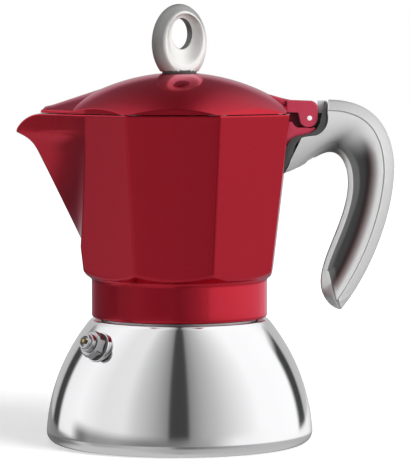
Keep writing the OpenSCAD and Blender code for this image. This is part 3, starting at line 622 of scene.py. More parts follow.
hex_rings = [hex_circle(STEM_R + 0.6, -VALVE_DEEP), hex_circle(VALVE_SHANK_R - 0.4, -VALVE_DEEP),
             hex_circle(VALVE_SHANK_R, -VALVE_DEEP + 0.4), hex_circle(VALVE_SHANK_R, HEX_FOOT),
             hex_circle(VALVE_HEX_R - 0.25, HEX_FOOT),
             hex_ring(VALVE_HEX_R - 0.12, HEX_FOOT + 0.08), hex_ring(VALVE_HEX_R, HEX_FOOT + 0.3)]
hex_rings += [under_cone(hex_ring(VALVE_HEX_R, HEX_FOOT + HEX_T * t)) for t in (0.5, 0.8, 1.0)]
hex_rings += [hex_circle(VALVE_HEX_R - 0.35, CAP_FOOT), hex_circle(VALVE_BORE_R + 0.1, CAP_FOOT),
              hex_circle(VALVE_BORE_R, CAP_FOOT - 0.1), hex_circle(VALVE_BORE_R, VALVE_FLOOR),
              hex_circle(STEM_R + 0.6, VALVE_FLOOR)]
plated_steel = finish("plated_steel", ((0.50, 0.50, 0.51), (0.42, 0.42, 0.43)), (0.20, 0.30), 1.0,
                      (turning_lines, {"Spacing": 0.3, "Wander": 2.0}), patch=5.0, bump=0.003)
valve_hexagon = solid("valve_hexagon", moved(hex_rings, valve_place), loop=True, sharp=24)
weigh(valve_hexagon)
fit(valve_hexagon, "boiler", "satin_steel", [plated_steel], "valve_body")
# The polished bell doesn't mirror the hexagon as a dark spot beside it
valve_hexagon.visible_glossy = False

CAP_R = VALVE_BORE_R + 1.3
CAP_LIP_R = VALVE_BORE_R + 0.5
CAP_POCKET_R = VALVE_BORE_R - 0.4
CAP_POCKET_DEEP = 1.2
CAP_TOP = CAP_FOOT + CAP_T
cap_outline = [(STEM_R + 0.1, CAP_FOOT - 0.7), (VALVE_BORE_R - 0.05, CAP_FOOT - 0.7),
               (VALVE_BORE_R - 0.05, CAP_FOOT), (CAP_R - 0.1, CAP_FOOT), (CAP_R, CAP_FOOT + 0.12),
               (CAP_R, CAP_FOOT + 1.45), (CAP_R - 0.12, CAP_FOOT + 1.68),
               (CAP_R - 0.35, CAP_FOOT + 1.76), (CAP_LIP_R + 0.1, CAP_FOOT + 1.8),
               (CAP_LIP_R, CAP_FOOT + 1.9), (CAP_LIP_R, CAP_TOP - 0.3),
               (CAP_LIP_R - 0.1, CAP_TOP - 0.08), (CAP_LIP_R - 0.3, CAP_TOP),
               (CAP_POCKET_R + 0.15, CAP_TOP), (CAP_POCKET_R, CAP_TOP - 0.12),
               (CAP_POCKET_R, CAP_TOP - CAP_POCKET_DEEP), (STEM_R + 0.1, CAP_TOP - CAP_POCKET_DEEP)]
cap = solid("valve_cap_nut", moved(spun(cap_outline, 64), valve_place), loop=True, sharp=30)
weigh(cap)
fit(cap, "boiler", "satin_steel", [plated_steel], "valve_cap")

FLANGE_FOOT = 3 - VALVE_DEEP
FLANGE_TOP = FLANGE_FOOT + 0.8
FLANGE_R = VALVE_BORE_R - 0.25
STEM_FOOT = 0.5 - VALVE_DEEP
STEM_END = CAP_TOP + 0.9
STEM_ROUND = 0.5
stem_outline = [(0, STEM_FOOT), (STEM_R - 0.2, STEM_FOOT), (STEM_R, STEM_FOOT + 0.2),
                (STEM_R, FLANGE_FOOT), (FLANGE_R, FLANGE_FOOT), (FLANGE_R, FLANGE_TOP),
                (STEM_R, FLANGE_TOP)]
stem_outline += [(STEM_R * cos(a), STEM_END - STEM_ROUND + STEM_ROUND * sin(a))
                 for a in (0, 0.3, 0.6, 0.9, 1.2)] + [(0, STEM_END)]
plunger = solid("plunger", moved(spun(stem_outline, 40), valve_place), sharp=40)
brass = finish("brass", ((0.62, 0.47, 0.22), (0.50, 0.37, 0.17)), (0.28, 0.42), 1.0,
               (turning_lines, {"Spacing": 0.2, "Wander": 2.0}), patch=3.0, bump=0.003)
weigh(plunger)
fit(plunger, "valve_core", "brass", [brass], "valve_plunger")

SPRING_END = CAP_FOOT - 2.3
SPRING_R = (VALVE_BORE_R - 0.2 + STEM_R + 0.3) / 2
SPRING_WIRE_R = 0.28
SPRING_TURNS = 6.0
spring = coil("spring", plated_steel, valve_place, Radius=SPRING_R * MM,
              Pitch=(SPRING_END - FLANGE_TOP - 2 * SPRING_WIRE_R) / SPRING_TURNS * MM,
              Turns=SPRING_TURNS, Foot=(FLANGE_TOP + SPRING_WIRE_R) * MM, Steps=36,
              Wire_Width=SPRING_WIRE_R * MM, Wire_Height=SPRING_WIRE_R * MM, Wire_Sides=10)
fit(spring, "valve_core", "satin_steel", [plated_steel], "valve_spring")

black_rubber = finish("black_rubber", ((0.030, 0.030, 0.030), (0.055, 0.054, 0.052)),
                      (0.62, 0.80), 0.0, (skin_grain, {"Size": 0.2}), patch=4.0, bump=0.010)
coat_node(black_rubber, "valve_washer", "valve_seal")

# ---------------------------------------------------------------- funnel
# The coffee basket, pressed from aluminium, with a cone below its drilled floor and a tube that
# reaches down into the water. Its rim rests on the boiler's neck.

FUNNEL_T = 0.8
FUNNEL_TOP = NECK_TOP + FUNNEL_T
BASKET_R = NECK_R - NECK_WALL - 0.6
BASKET_FLOOR = FUNNEL_TOP - 22
LEDGE_R = BASKET_R - FUNNEL_T - 2.6
CONE_FOOT = BASKET_FLOOR - 9
TUBE_R = 5.0
TUBE_FOOT = (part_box("funnel_tube")[0] / MM).z
FUNNEL_RIM_R = (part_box("funnel_basket")[1] / MM).x

BASKET_IN_R = BASKET_R - FUNNEL_T
BASKET_FOOT = BASKET_FLOOR - FUNNEL_T
TUBE_OUT_R = TUBE_R + FUNNEL_T
TUBE_TOP = CONE_FOOT + 0.3
basket_outline = [(FUNNEL_RIM_R - 0.15, NECK_TOP + 0.02), (BASKET_R + 0.3, NECK_TOP + 0.02),
                  (BASKET_R, NECK_TOP - 0.3), (BASKET_R, BASKET_FOOT + 0.5),
                  (BASKET_R - 0.15, BASKET_FOOT + 0.15), (BASKET_R - 0.5, BASKET_FOOT),
                  (LEDGE_R, BASKET_FOOT), (TUBE_OUT_R + 0.5, TUBE_TOP),
                  (TUBE_OUT_R, CONE_FOOT - 0.5), (TUBE_OUT_R, CONE_FOOT - 3.8),
                  (TUBE_R + 0.6, CONE_FOOT - 4), (TUBE_R, CONE_FOOT - 4), (TUBE_R, CONE_FOOT + 0.4),
                  (LEDGE_R - FUNNEL_T, BASKET_FLOOR), (BASKET_IN_R - 0.3, BASKET_FLOOR),
                  (BASKET_IN_R, BASKET_FLOOR + 0.3), (BASKET_IN_R, FUNNEL_TOP - 0.5),
                  (BASKET_IN_R + 0.15, FUNNEL_TOP - 0.15), (BASKET_IN_R + 0.5, FUNNEL_TOP),
                  (FUNNEL_RIM_R - 0.25, FUNNEL_TOP), (FUNNEL_RIM_R, FUNNEL_TOP - 0.25),
                  (FUNNEL_RIM_R, NECK_TOP + 0.2)]
basket = solid("coffee_basket", spun(basket_outline[::-1], ROUND_STEPS), loop=True, sharp=40)
basket.data.flip_normals()
tube_outline = [(TUBE_R - FUNNEL_T, TUBE_TOP), (TUBE_R - FUNNEL_T, TUBE_FOOT + 0.15),
                (TUBE_R - FUNNEL_T + 0.15, TUBE_FOOT), (TUBE_R - 0.15, TUBE_FOOT),
                (TUBE_R, TUBE_FOOT + 0.15), (TUBE_R, TUBE_TOP)]
tube = solid("dip_tube", spun(tube_outline, 64), loop=True, sharp=40)
pressed_aluminium = finish("pressed_aluminium", ((0.70, 0.70, 0.71), (0.60, 0.60, 0.61)),
                           (0.24, 0.38), 1.0, (turning_lines, {"Spacing": 0.35, "Wander": 6.0}),
                           patch=12.0, bump=0.006)
for piece, node in ((basket, "funnel_basket"), (tube, "funnel_tube")):
    weigh(piece)
    fit(piece, "funnel", "bare_aluminium", [pressed_aluminium], node)

# ---------------------------------------------------------------- strainers and seal
# The funnel's floor and the filter over it are thin plates drilled in rings. A pale rubber ring
# round the filter seals the collector against the funnel's rim.

GASKET_Z, GASKET_TOP = ((corner / MM).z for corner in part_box("gasket"))
GASKET_R = (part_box("gasket")[1] / MM).x
GASKET_IN_R = 25.5
GASKET_SOFT = 0.5

gasket_outline = []
for r, z, turn in ((GASKET_R - GASKET_SOFT, GASKET_Z + GASKET_SOFT, -90),
                   (GASKET_R - GASKET_SOFT, GASKET_TOP - GASKET_SOFT, 0),
                   (GASKET_IN_R + GASKET_SOFT, GASKET_TOP - GASKET_SOFT, 90),
                   (GASKET_IN_R + GASKET_SOFT, GASKET_Z + GASKET_SOFT, 180)):
    gasket_outline += arc((r, z), GASKET_SOFT, turn, turn + 90, 5)
seal_ring = solid("seal_ring", spun(gasket_outline, ROUND_STEPS), loop=True, sharp=40)
white_rubber = finish("white_rubber", ((0.78, 0.78, 0.74), (0.70, 0.69, 0.64)), (0.55, 0.70), 0.0,
                      (skin_grain, {"Size": 0.4}), patch=9.0, bump=0.015)
weigh(seal_ring)
fit(seal_ring, "seal", "white_rubber", [white_rubber], "gasket")
coat_node(pressed_aluminium, "funnel_strainer", "filter_plate")

# ---------------------------------------------------------------- collector
# One aluminium casting: a round collar, a dished foot, eight flared facets, and a spout whose
# hollow sides meet in a ridge that curls out to the lip. Red lacquer outside, bare metal inside.

COLLECTOR_LOW, COLLECTOR_HIGH = (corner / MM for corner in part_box("collector"))
COLLAR_Z = COLLECTOR_LOW.z
RIM_Z = COLLECTOR_HIGH.z
COLLAR_R = 38.8
DISH_Z = COLLAR_Z + 17.2
BORE_R = NECK_R + 0.4
OCTAGON_LOW_R = 44.5
OCTAGON_RIM_R = 53.1
OCTAGON_LOW_Z = DISH_Z + 4.0
DISH_SLOPE = (OCTAGON_LOW_Z - DISH_Z) / (OCTAGON_LOW_R - COLLAR_R)
FLARE = (OCTAGON_RIM_R - OCTAGON_LOW_R) / (RIM_Z - OCTAGON_LOW_Z)
HALF_SIDE = pi / 8
RIM_X = OCTAGON_RIM_R * cos(HALF_SIDE)
BODY_WALL = 2.4
FLOOR_Z = 77.4
CORNER_SOFT = 0.75
TIP_SOFT = 1.9
LIP_SOFT = 3.2
TIP_FILL = 0.62
ARC_SHARE = 1.02

SPOUT_Z = RIM_Z - 58
SPOUT_HALF_W = 30.2
SPOUT_HOLLOW = 3.0
SPOUT_REACH = 23.2
LIP_R = 13.3
SPOUT_TIP = (RIM_X + 23.5, RIM_Z - LIP_R * 0.63)
SPOUT_KNEE = (RIM_X + 0.56 * SPOUT_REACH, RIM_Z - 18)
LIP_X = RIM_X + SPOUT_REACH - LIP_R + 1.3
LIP_LEAN = radians(68)


def corner_r(z):
    """Distance of the octagon's corners from the axis at a height."""
    return OCTAGON_LOW_R + FLARE * (z - OCTAGON_LOW_Z)


def bezier(points, t):
    """A point of a cubic curve."""
    a, b, c, d = points
    return tuple((1 - t) ** 3 * a[k] + 3 * t * (1 - t) ** 2 * b[k] + 3 * t * t * (1 - t) * c[k]
                 + t ** 3 * d[k] for k in range(len(a)))


ridge_foot = (corner_r(SPOUT_Z) * cos(HALF_SIDE), SPOUT_Z)
ridge_lean = atan2(SPOUT_KNEE[0] - ridge_foot[0], SPOUT_KNEE[1] - ridge_foot[1])
RIDGE_PULL = 8.1
ridge_curl = (SPOUT_KNEE, (SPOUT_KNEE[0] + 0.7 * RIDGE_PULL * sin(ridge_lean),
                           SPOUT_KNEE[1] + 0.7 * RIDGE_PULL * cos(ridge_lean)),
              (SPOUT_TIP[0] - 0.8 * RIDGE_PULL * sin(LIP_LEAN),
               SPOUT_TIP[1] - 0.8 * RIDGE_PULL * cos(LIP_LEAN)), SPOUT_TIP)
ridge = ([ridge_foot] + [bezier(ridge_curl, k / 40) for k in range(41)]
         + [(SPOUT_TIP[0] + 0.6, RIM_Z + 1)])


def ridge_x(z):
    """Distance of the spout's ridge from the axis at a height."""
    if z <= ridge[0][1]:
        return 0.0
    for (x0, z0), (x1, z1) in zip(ridge, ridge[1:]):
        if z <= z1:
            return x0 + (x1 - x0) * (z - z0) / (z1 - z0)
    return ridge[-1][0]


def soft_corner(before, corner, after, soft, steps):
    """An arc that rounds a corner, from one tangent point to the other."""
    a, v, b = Vector(before), Vector(corner), Vector(after)
    into, out = (v - a).normalized(), (b - v).normalized()
    start, end = v - into * soft, v + out * soft
    weight = cos(into.angle(out) / 2)
    arc_points = []
    for k in range(steps + 1):
        t = k / steps
        share = ((1 - t) ** 2, 2 * weight * t * (1 - t), t * t)
        arc_points.append((share[0] * start + share[1] * v + share[2] * end) / sum(share))
    return arc_points


FACET_STEPS = 12
SPOUT_STEPS = 26
CORNER_STEPS = 5
TIP_STEPS = 8


def body_ring(z, inset):
    """The body's outline at a height, moved inwards, from the spout's +Y corner by its tip."""
    share = max(z - SPOUT_Z, 0) / (RIM_Z - SPOUT_Z)
    r = corner_r(z) - inset / cos(HALF_SIDE)
    facet = r * cos(HALF_SIDE)
    half_w = r * sin(HALF_SIDE)
    half_w += (SPOUT_HALF_W - inset / 2 - half_w) * share
    left = Vector((-min(facet, facet * sqrt(2) - half_w), half_w))
    thin = min(max((z - SPOUT_KNEE[1]) / (SPOUT_TIP[1] - SPOUT_KNEE[1]), 0), 1)
    tip_soft = max(TIP_SOFT - inset * 0.3, 0.3) * (0.3 + 0.7 * share) + LIP_SOFT * thin ** 2
    reach = ridge_x(z) - inset * (1 + 0.4 * share - 0.75 * thin)
    tip = Vector((-max(reach + TIP_FILL * tip_soft * share, facet), 0))
    along = (tip - left).normalized()
    pull_l = (left + tip) / 2 + Vector((-along.y, along.x)) * 2 * SPOUT_HOLLOW * share
    right, pull_r = (Vector((p.x, -p.y)) for p in (left, pull_l))
    rear = [Vector((r * cos(a), r * sin(a))) for a in
            (radians(202.5 + 45 * k) for k in range(1, 7))]
    soft = max(CORNER_SOFT - inset * 0.2, 0.25)

    def side(a, pull, b, cut_a, cut_b, steps):
        """Points between two corners' arcs, along a curve with one pull."""
        length = (b - a).length
        t0, t1 = cut_a / length, 1 - cut_b / length
        points = []
        for k in range(1, steps):
            t = t0 + (t1 - t0) * k / steps
            points.append((1 - t) ** 2 * a + 2 * t * (1 - t) * pull + t * t * b)
        return points

    ring = soft_corner(rear[-1], left, pull_l, soft, CORNER_STEPS)
    ring += side(left, pull_l, tip, soft * ARC_SHARE, tip_soft * ARC_SHARE, SPOUT_STEPS)
    ring += soft_corner(pull_l, tip, pull_r, tip_soft, TIP_STEPS)
    ring += side(tip, pull_r, right, tip_soft * ARC_SHARE, soft * ARC_SHARE, SPOUT_STEPS)
    ring += soft_corner(pull_r, right, rear[0], soft, CORNER_STEPS)
    stops = [right] + rear + [left]
    for k in range(1, len(stops)):
        a, b = stops[k - 1], stops[k]
        ring += side(a, (a + b) / 2, b, soft, soft, FACET_STEPS)
        if k < len(stops) - 1:
            ring += soft_corner(a, b, stops[k + 1], soft, CORNER_STEPS)
    return [(p.x, p.y, z) for p in ring]


def lip_height(x):
    """Height of the rim at a distance along the pot: level, then curving down over the lip."""
    past = -x - LIP_X
    return RIM_Z if past <= 0 else RIM_Z - LIP_R + sqrt(max(LIP_R ** 2 - past ** 2, 0))


LEVELS = 300


def column_grid(inset, foot_z, foot_flat_r, steps):
    """Rings of a wall whose foot stands on a dished cone, and whose top follows the lip."""
    def on_cone(p):
        """Height of the cone under a point."""
        return foot_z + max(hypot(p[0], p[1]) - foot_flat_r, 0) * DISH_SLOPE

    feet = [on_cone(p) for p in body_ring(foot_z + 3, inset)]
    for _ in range(4):
        feet = [on_cone(body_ring(z, inset)[j]) for j, z in enumerate(feet)]
    levels = [foot_z + (RIM_Z - foot_z) * k / LEVELS for k in range(LEVELS + 1)]
    stack = [body_ring(z, inset) for z in levels]
    tops = []
    for j in range(len(feet)):
        top = RIM_Z
        for k in range(LEVELS, 0, -1):
            if levels[k] <= lip_height(stack[k][j][0]):
                if k < LEVELS:
                    over = stack[k + 1][j]
                    a = lip_height(stack[k][j][0]) - levels[k]
                    b = levels[k + 1] - lip_height(over[0])
                    top = levels[k] + (levels[k + 1] - levels[k]) * a / max(a + b, 1e-6)
                break
        tops.append(top)

    def at(j, z):
        """The point of one column at a height."""
        t = (z - foot_z) / (RIM_Z - foot_z) * LEVELS
        k = min(max(int(t), 0), LEVELS - 1)
        a, b = Vector(stack[k][j]), Vector(stack[k + 1][j])
        return tuple(a + (b - a) * (t - k))

    return [[at(j, feet[j] + (tops[j] - feet[j]) * k / steps) for j in range(len(tops))]
            for k in range(steps + 1)]


EDGE_SOFT = 1.1
RIM_SOFT = 0.7
outer = column_grid(0.0, DISH_Z, COLLAR_R, 72)
inner = column_grid(BODY_WALL, FLOOR_Z, COLLAR_R - BODY_WALL, 60)
angles = [atan2(p[1], p[0]) for p in outer[0]]


def round_ring(r, z):
    """A circle at the same compass angles as the body's columns."""
    return [(r * cos(a), r * sin(a), z) for a in angles]


def between(ring_a, ring_b, t):
    """A ring part of the way from one ring to another."""
    return [tuple(p + (q - p) * t for p, q in zip(a, b)) for a, b in zip(ring_a, ring_b)]


def toward(ring_a, ring_b, distance):
    """A ring moved a distance towards another ring."""
    made = []
    for a, b in zip(ring_a, ring_b):
        a, b = Vector(a), Vector(b)
        made.append(tuple(a + (b - a).normalized() * min(distance, (b - a).length)))
    return made


def rounded(before, edge, after, soft, steps=4):
    """Rings that round an edge between two walls."""
    a, b = toward(edge, before, soft), toward(edge, after, soft)
    rings = []
    for k in range(steps + 1):
        t = k / steps
        rings.append([tuple((1 - t) ** 2 * p + 2 * t * (1 - t) * v + t * t * q
                            for p, v, q in zip(*three)) for three in zip(a, edge, b)])
    return rings


COLUMN_R = 5.6
COLUMN_BORE_R = 3.4
COLUMN_TOP = FLOOR_Z + 50
COLUMN_FLARE_X = 20.0
COLUMN_FLARE_R = 16
FILTER_SEAT = 72.1
POCKET_R = 27.3
CHAMBER_Z = 73.1

collar_edge = arc((COLLAR_R - 1.5, COLLAR_Z + 1.5), 1.5, -90, 0, 6)
collar_rings = ([round_ring(BORE_R, COLLAR_Z + 0.5), round_ring(BORE_R + 0.5, COLLAR_Z)]
                + [round_ring(r, z) for r, z in collar_edge]
                + [round_ring(COLLAR_R, COLLAR_Z + 4), round_ring(COLLAR_R, DISH_Z - 1.6)])
dish_edge = round_ring(COLLAR_R, DISH_Z)
dish_rings = rounded(collar_rings[-1], dish_edge, outer[0], 0.9, 3)
dish_rings += [between(dish_edge, outer[0], t) for t in (0.3, 0.5, 0.7)]
foot_rings = rounded(dish_edge, outer[0], outer[3], EDGE_SOFT)
wall_rings = outer[2:-1]
rim_rings = (rounded(outer[-2], outer[-1], inner[-1], RIM_SOFT)
             + rounded(outer[-1], inner[-1], inner[-3], 0.35, 3))
inside_rings = inner[-2:1:-1]
floor_edge = round_ring(COLLAR_R - BODY_WALL, FLOOR_Z)
floor_rings = rounded(inner[2], inner[0], floor_edge, 2.0) + [floor_edge]
flare_turn = degrees(asin((COLUMN_FLARE_X - COLUMN_R) / COLUMN_FLARE_R))
column_flare = arc((COLUMN_FLARE_X, FLOOR_Z + COLUMN_FLARE_R), COLUMN_FLARE_R, -90,
                   -90 - flare_turn, 12)
column_top = arc((COLUMN_R - 2, COLUMN_TOP - 2), 2, 0, 75, 5)
column_rings = [round_ring(r, z) for r, z in [(28, FLOOR_Z)] + column_flare + column_top
                + [(COLUMN_BORE_R + 0.3, COLUMN_TOP - 0.1), (COLUMN_BORE_R, COLUMN_TOP - 0.5)]]
under_rings = [round_ring(r, z) for r, z in (
    (COLUMN_BORE_R, 100), (COLUMN_BORE_R, 80.4), (24, CHAMBER_Z), (POCKET_R, CHAMBER_Z),
    (POCKET_R, FILTER_SEAT), (BORE_R, FILTER_SEAT), (BORE_R, FILTER_SEAT - 3.2))]
all_rings = (collar_rings + dish_rings + foot_rings + wall_rings + rim_rings + inside_rings
             + floor_rings + column_rings + under_rings)
# The lacquer starts below the collar's bore and ends two rows into the rounding of the rim
painted = len(collar_rings + dish_rings + foot_rings + wall_rings) + 2
marks = [0 if 0 < k < painted else 1 for k in range(len(all_rings))]
body = solid("octagonal_collector", all_rings, loop=True, sharp=28, marks=marks)

OUTLET_Z = COLUMN_TOP - 6
OUTLET_R = 2.04
across = Matrix.Translation((0, 0, OUTLET_Z)) @ Matrix.Rotation(pi / 2, 4, "X")
cut(body, tool_bar(OUTLET_R, -2.4 * COLUMN_R, 2.4 * COLUMN_R, across, 40), sharp=28)
collar_thread = coil("collar_thread", bare_aluminium, Matrix(), Radius=(BORE_R + 0.05) * MM,
                     Pitch=THREAD_PITCH * MM, Turns=3.4, Foot=(COLLAR_Z + 3.2) * MM, Steps=120,
                     Wire_Width=0.05 * MM, Wire_Height=0.7 * MM, Wire_Sides=8)

red_lacquer = finish("red_lacquer", ((0.50, 0.008, 0.026), (0.46, 0.007, 0.022)), (0.14, 0.18), 0.9,
                     (skin_grain, {"Size": 0.5}), patch=60.0, bump=0.004, coat=(0.40, 0.03),
                     edge_tint=(1.0, 0.38, 0.55))
# The red lacquer doesn't tint the handle and the table
body.visible_diffuse = False
weigh(body)
fit(body, "top", "red_paint", [red_lacquer, bare_aluminium], "collector")
fit(collar_thread, "top", "bare_aluminium", [bare_aluminium])

# ---------------------------------------------------------------- hinge bracket and pin
# The bracket is cast with the collector's rear facet: a base as wide as the fork, and a knuckle
# between the lid's ears. A steel pin is pressed through it, with bright, slightly domed ends.

PIN_LOW, PIN_HIGH = (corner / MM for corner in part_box("hinge_pin"))
PIN_X = (PIN_LOW.x + PIN_HIGH.x) / 2
PIN_Z = (PIN_LOW.z + PIN_HIGH.z) / 2
PIN_R = 1.3
EAR_R = 4.1
EAR_IN = 3.65
EAR_T = 2.9
KNUCKLE_W = 6.8
FORK_W = 2 * (EAR_IN + EAR_T)
BRACKET_EDGE = [(2.9, -5), (0.8, -6.4), (-2.5, -7.3), (-5.3, -7.8), (-8, -9.2), (-9.6, -11.9)]


def soften_edges(work, radius, steps):
    """Rounds a worked mesh's sharp edges, and clamps the rounding where they are close."""
    rims = [e for e in work.edges if e.calc_face_angle(0) > radians(35)]
    bmesh.ops.bevel(work, geom=rims, offset=radius * MM, segments=steps, profile=0.5,
                    affect="EDGES", clamp_overlap=True)


def prism(name, outline, width, middle=0.0, bevel=0.5):
    """A plate of a width across the pot, from its outline of (x, z), with rounded edges."""
    n = len(outline)
    points = [(x, middle + side * width / 2, z) for side in (-1, 1) for x, z in outline]
    work = bmesh.new()
    corners = [work.verts.new(Vector(p) * MM) for p in points]
    work.faces.new(corners[:n])
    work.faces.new(corners[n:][::-1])
    for j in range(n):
        i = (j + 1) % n
        work.faces.new((corners[j], corners[n + j], corners[n + i], corners[i]))
    bmesh.ops.recalc_face_normals(work, faces=work.faces)
    if bevel:
        soften_edges(work, bevel, 3)
    mesh = bpy.data.meshes.new(name)
    work.to_mesh(mesh)
    work.free()
    return smoothed(name, mesh)


def joined(piece, *others):
    """Adds other pieces' meshes to a piece, keeping each one's material numbers."""
    work = bmesh.new()
    for part in (piece, *others):
        work.from_mesh(part.data)
    work.to_mesh(piece.data)
    work.free()
    for part in others:
        bpy.data.objects.remove(part)
    return piece


def darken(piece, label, amounts):
    """Marks how much painted shade darkens the paint at each point, as where light barely reaches.
    """
    shade = piece.data.attributes.new(label, "FLOAT", "POINT")
    shade.data.foreach_set("value", amounts)


def from_pin(points):
    """Points measured from the hinge pin, in the pot's own place."""
    return [(PIN_X + x, PIN_Z + z) for x, z in points]


root_x = RIM_X - BODY_WALL + 0.8
BRACKET_FOOT = PIN_Z - 13.2
KNUCKLE_TOP = RIM_Z + 0.55
TANG_W = 6.0
RECESS_PAINTED_SHADE = 0.80
bracket = prism("bracket", [(root_x, BRACKET_FOOT), (root_x, PIN_Z - 1.6)]
                + arc((RIM_X + 3.9, PIN_Z - 1.2), 3.1, 190, 262, 10)
                + arc((PIN_X, PIN_Z), EAR_R + 0.35, -110, -64, 8) + from_pin(BRACKET_EDGE),
                FORK_W, bevel=0.3)
knuckle = prism("knuckle", [(root_x, PIN_Z - 7), (root_x, KNUCKLE_TOP), (PIN_X - 4.6, KNUCKLE_TOP)]
                + arc((PIN_X, PIN_Z), EAR_R - 0.8, 130, -80, 28) + [(PIN_X - 1, PIN_Z - 7)],
                KNUCKLE_W, bevel=0.3)
# Painted shade: the whole knuckle is darkened, as if shaded by the ears around it
darken(knuckle, "painted_recess_shade", [RECESS_PAINTED_SHADE] * len(knuckle.data.vertices))
tang = prism("tang", [(root_x, BRACKET_FOOT), (PIN_X - 0.6, BRACKET_FOOT),
                      (PIN_X + 0.9, PIN_Z - 11), (PIN_X + 0.4, PIN_Z - 6), (root_x, PIN_Z - 6)],
             TANG_W, bevel=0.3)
hinge_bracket = joined(bracket, knuckle, tang)
hinge_bracket.name = "hinge_bracket"
# A rougher, less metallic cast red for the bracket and the lid's arm and ears. Its colour, lighter
# and pinker than the lid's lacquer, is partly a painted highlight.
highlit_cast_lacquer = finish("highlit_cast_lacquer", ((0.42, 0.042, 0.075), (0.34, 0.030, 0.055)), (0.36, 0.46),
                      0.12, (skin_grain, {"Size": 0.6}), patch=6.0, bump=0.010, coat=(0.25, 0.15),
                      edge_tint=(1.0, 0.45, 0.6), marks="painted_recess_shade")
fit(hinge_bracket, "top", "red_paint", [highlit_cast_lacquer], "collector")

pin_end = PIN_HIGH.y
across_pin = Matrix.Translation((PIN_X, 0, PIN_Z)) @ Matrix.Rotation(pi / 2, 4, "X")
half_pin = [(0, pin_end), (PIN_R * 0.6, pin_end - 0.04), (PIN_R - 0.1, pin_end - 0.2),
            (PIN_R, pin_end - 0.4)]
pin_outline = [(r, -s) for r, s in half_pin] + half_pin[::-1]
pin = solid("pin", moved(spun(pin_outline, 40), across_pin))
satin_steel = finish("satin_steel", ((0.74, 0.74, 0.75), (0.66, 0.66, 0.67)), (0.22, 0.34), 1.0,
                     (turning_lines, {"Spacing": 0.3, "Wander": 2.0}), patch=6.0, bump=0.004)
ground_steel = finish("ground_steel", ((0.92, 0.92, 0.93), (0.86, 0.86, 0.87)), (0.42, 0.50), 0.4,
                      (skin_grain, {"Size": 0.2}), patch=3.0, bump=0.004)
weigh(pin)
fit(pin, "top", "satin_steel", [ground_steel], "hinge_pin")

# ---------------------------------------------------------------- lid
# A pressed dome, cut to the octagon with an upright crescent over each facet, and drawn out into
# a roof over the spout. Its fork of two ears swings on the pin. Lacquered red, bare inside.

LID_Z = RIM_Z + 0.3
DOME_R = 86.0
DOME_Z = RIM_Z + 18 - DOME_R
DOME_REACH = 70
LID_CORNER_R = OCTAGON_RIM_R - 0.2
LID_REAR_X = RIM_X - 1.4
LID_WALL = 1.8
NOSE_X = LIP_X + 0.6
NOSE_R = 3.5
NOSE_Y = 4.5
NOSE_HALF_W = NOSE_Y + NOSE_R
BEAK_ROOT_X = RIM_X * sqrt(2) - SPOUT_HALF_W
RIDGE_BACK = (-30.0, RIM_Z + 12.3)
RIDGE_FRONT = (-57.0, RIM_Z + 3.4)
RIDGE_ROUND = 2.2
ROOF_BULGE = 1.45
EDGE_RISE = 0.7
LID_FACET_STEPS = 16
LID_SIDE_STEPS = 34
NOSE_STEPS = 8


def lid_outline(inset):
    """The lid's edge in plan, moved inwards, from its +Y corner at the spout round by the nose."""
    r = LID_CORNER_R - inset / cos(HALF_SIDE)
    facet = r * cos(HALF_SIDE)
    root = Vector((-BEAK_ROOT_X + 0.6 * inset, facet * sqrt(2) - BEAK_ROOT_X + 0.6 * inset))
    nose_r = max(NOSE_R - inset, 0.8)
    centre = Vector((-NOSE_X + NOSE_R, NOSE_Y))
    away = centre - root
    touch = degrees(atan2(away.y, away.x) - asin(nose_r / away.length)) + 270
    nose = [Vector(p) for p in arc(centre, nose_r, touch, 180, NOSE_STEPS)]
    half = [root + (nose[0] - root) * k / LID_SIDE_STEPS for k in range(LID_SIDE_STEPS)] + nose
    across = [Vector((half[-1].x, half[-1].y * (1 - k / NOSE_STEPS)))
              for k in range(1, 2 * NOSE_STEPS)]
    front = half + across + [Vector((p.x, -p.y)) for p in half[::-1]]
    rear_x = LID_REAR_X - inset
    rear = [Vector((r * cos(a), r * sin(a))) for a in
            (radians(202.5 + 45 * k) for k in range(1, 3))]
    turn = Vector((rear_x, -(facet * sqrt(2) - rear_x)))
    low_corner = Vector((r * cos(radians(-67.5)), r * sin(radians(-67.5))))
    stops = [front[-1], rear[0], low_corner, turn]
    stops += [Vector((p.x, -p.y)) for p in stops[::-1]]
    ring = list(front[:-1])
    for a, b in zip(stops, stops[1:]):
        ring += [a + (b - a) * k / LID_FACET_STEPS for k in range(LID_FACET_STEPS)]
    return ring


def dome_height(p, inset):
    """Height of the dome over a point."""
    return DOME_Z + sqrt((DOME_R - inset) ** 2 - min(p[0] ** 2 + p[1] ** 2, DOME_REACH ** 2))


def roof_height(p, inset):
    """Height of the spout's roof over a point: down both sides of its ridge, and over the nose."""
    x, y = p[0], abs(p[1])
    t = (x - RIDGE_BACK[0]) / (RIDGE_FRONT[0] - RIDGE_BACK[0])
    ridge_z = RIDGE_BACK[1] + (RIDGE_FRONT[1] - RIDGE_BACK[1]) * min(t, 1) - 4 * max(-t, 0) ** 2
    edge = NOSE_HALF_W + (SPOUT_HALF_W - NOSE_HALF_W) * (x + NOSE_X) / (NOSE_X - BEAK_ROOT_X)
    edge = max(edge, NOSE_HALF_W)
    across = (hypot(y, RIDGE_ROUND) - RIDGE_ROUND) / (hypot(edge, RIDGE_ROUND) - RIDGE_ROUND)
    past = min(max((-x - NOSE_X + NOSE_R) / NOSE_R, 0), 1)
    edge_z = LID_Z + EDGE_RISE
    rise = (1 - min(across, 1) ** ROOF_BULGE) * sqrt(1 - past * past)
    return edge_z + (ridge_z - edge_z) * rise - inset


CREASE_RING = 40
LID_RINGS = 56
FLAT_SHARE = 0.12
LID_ROUND_R = 52
CREASE_X = -37


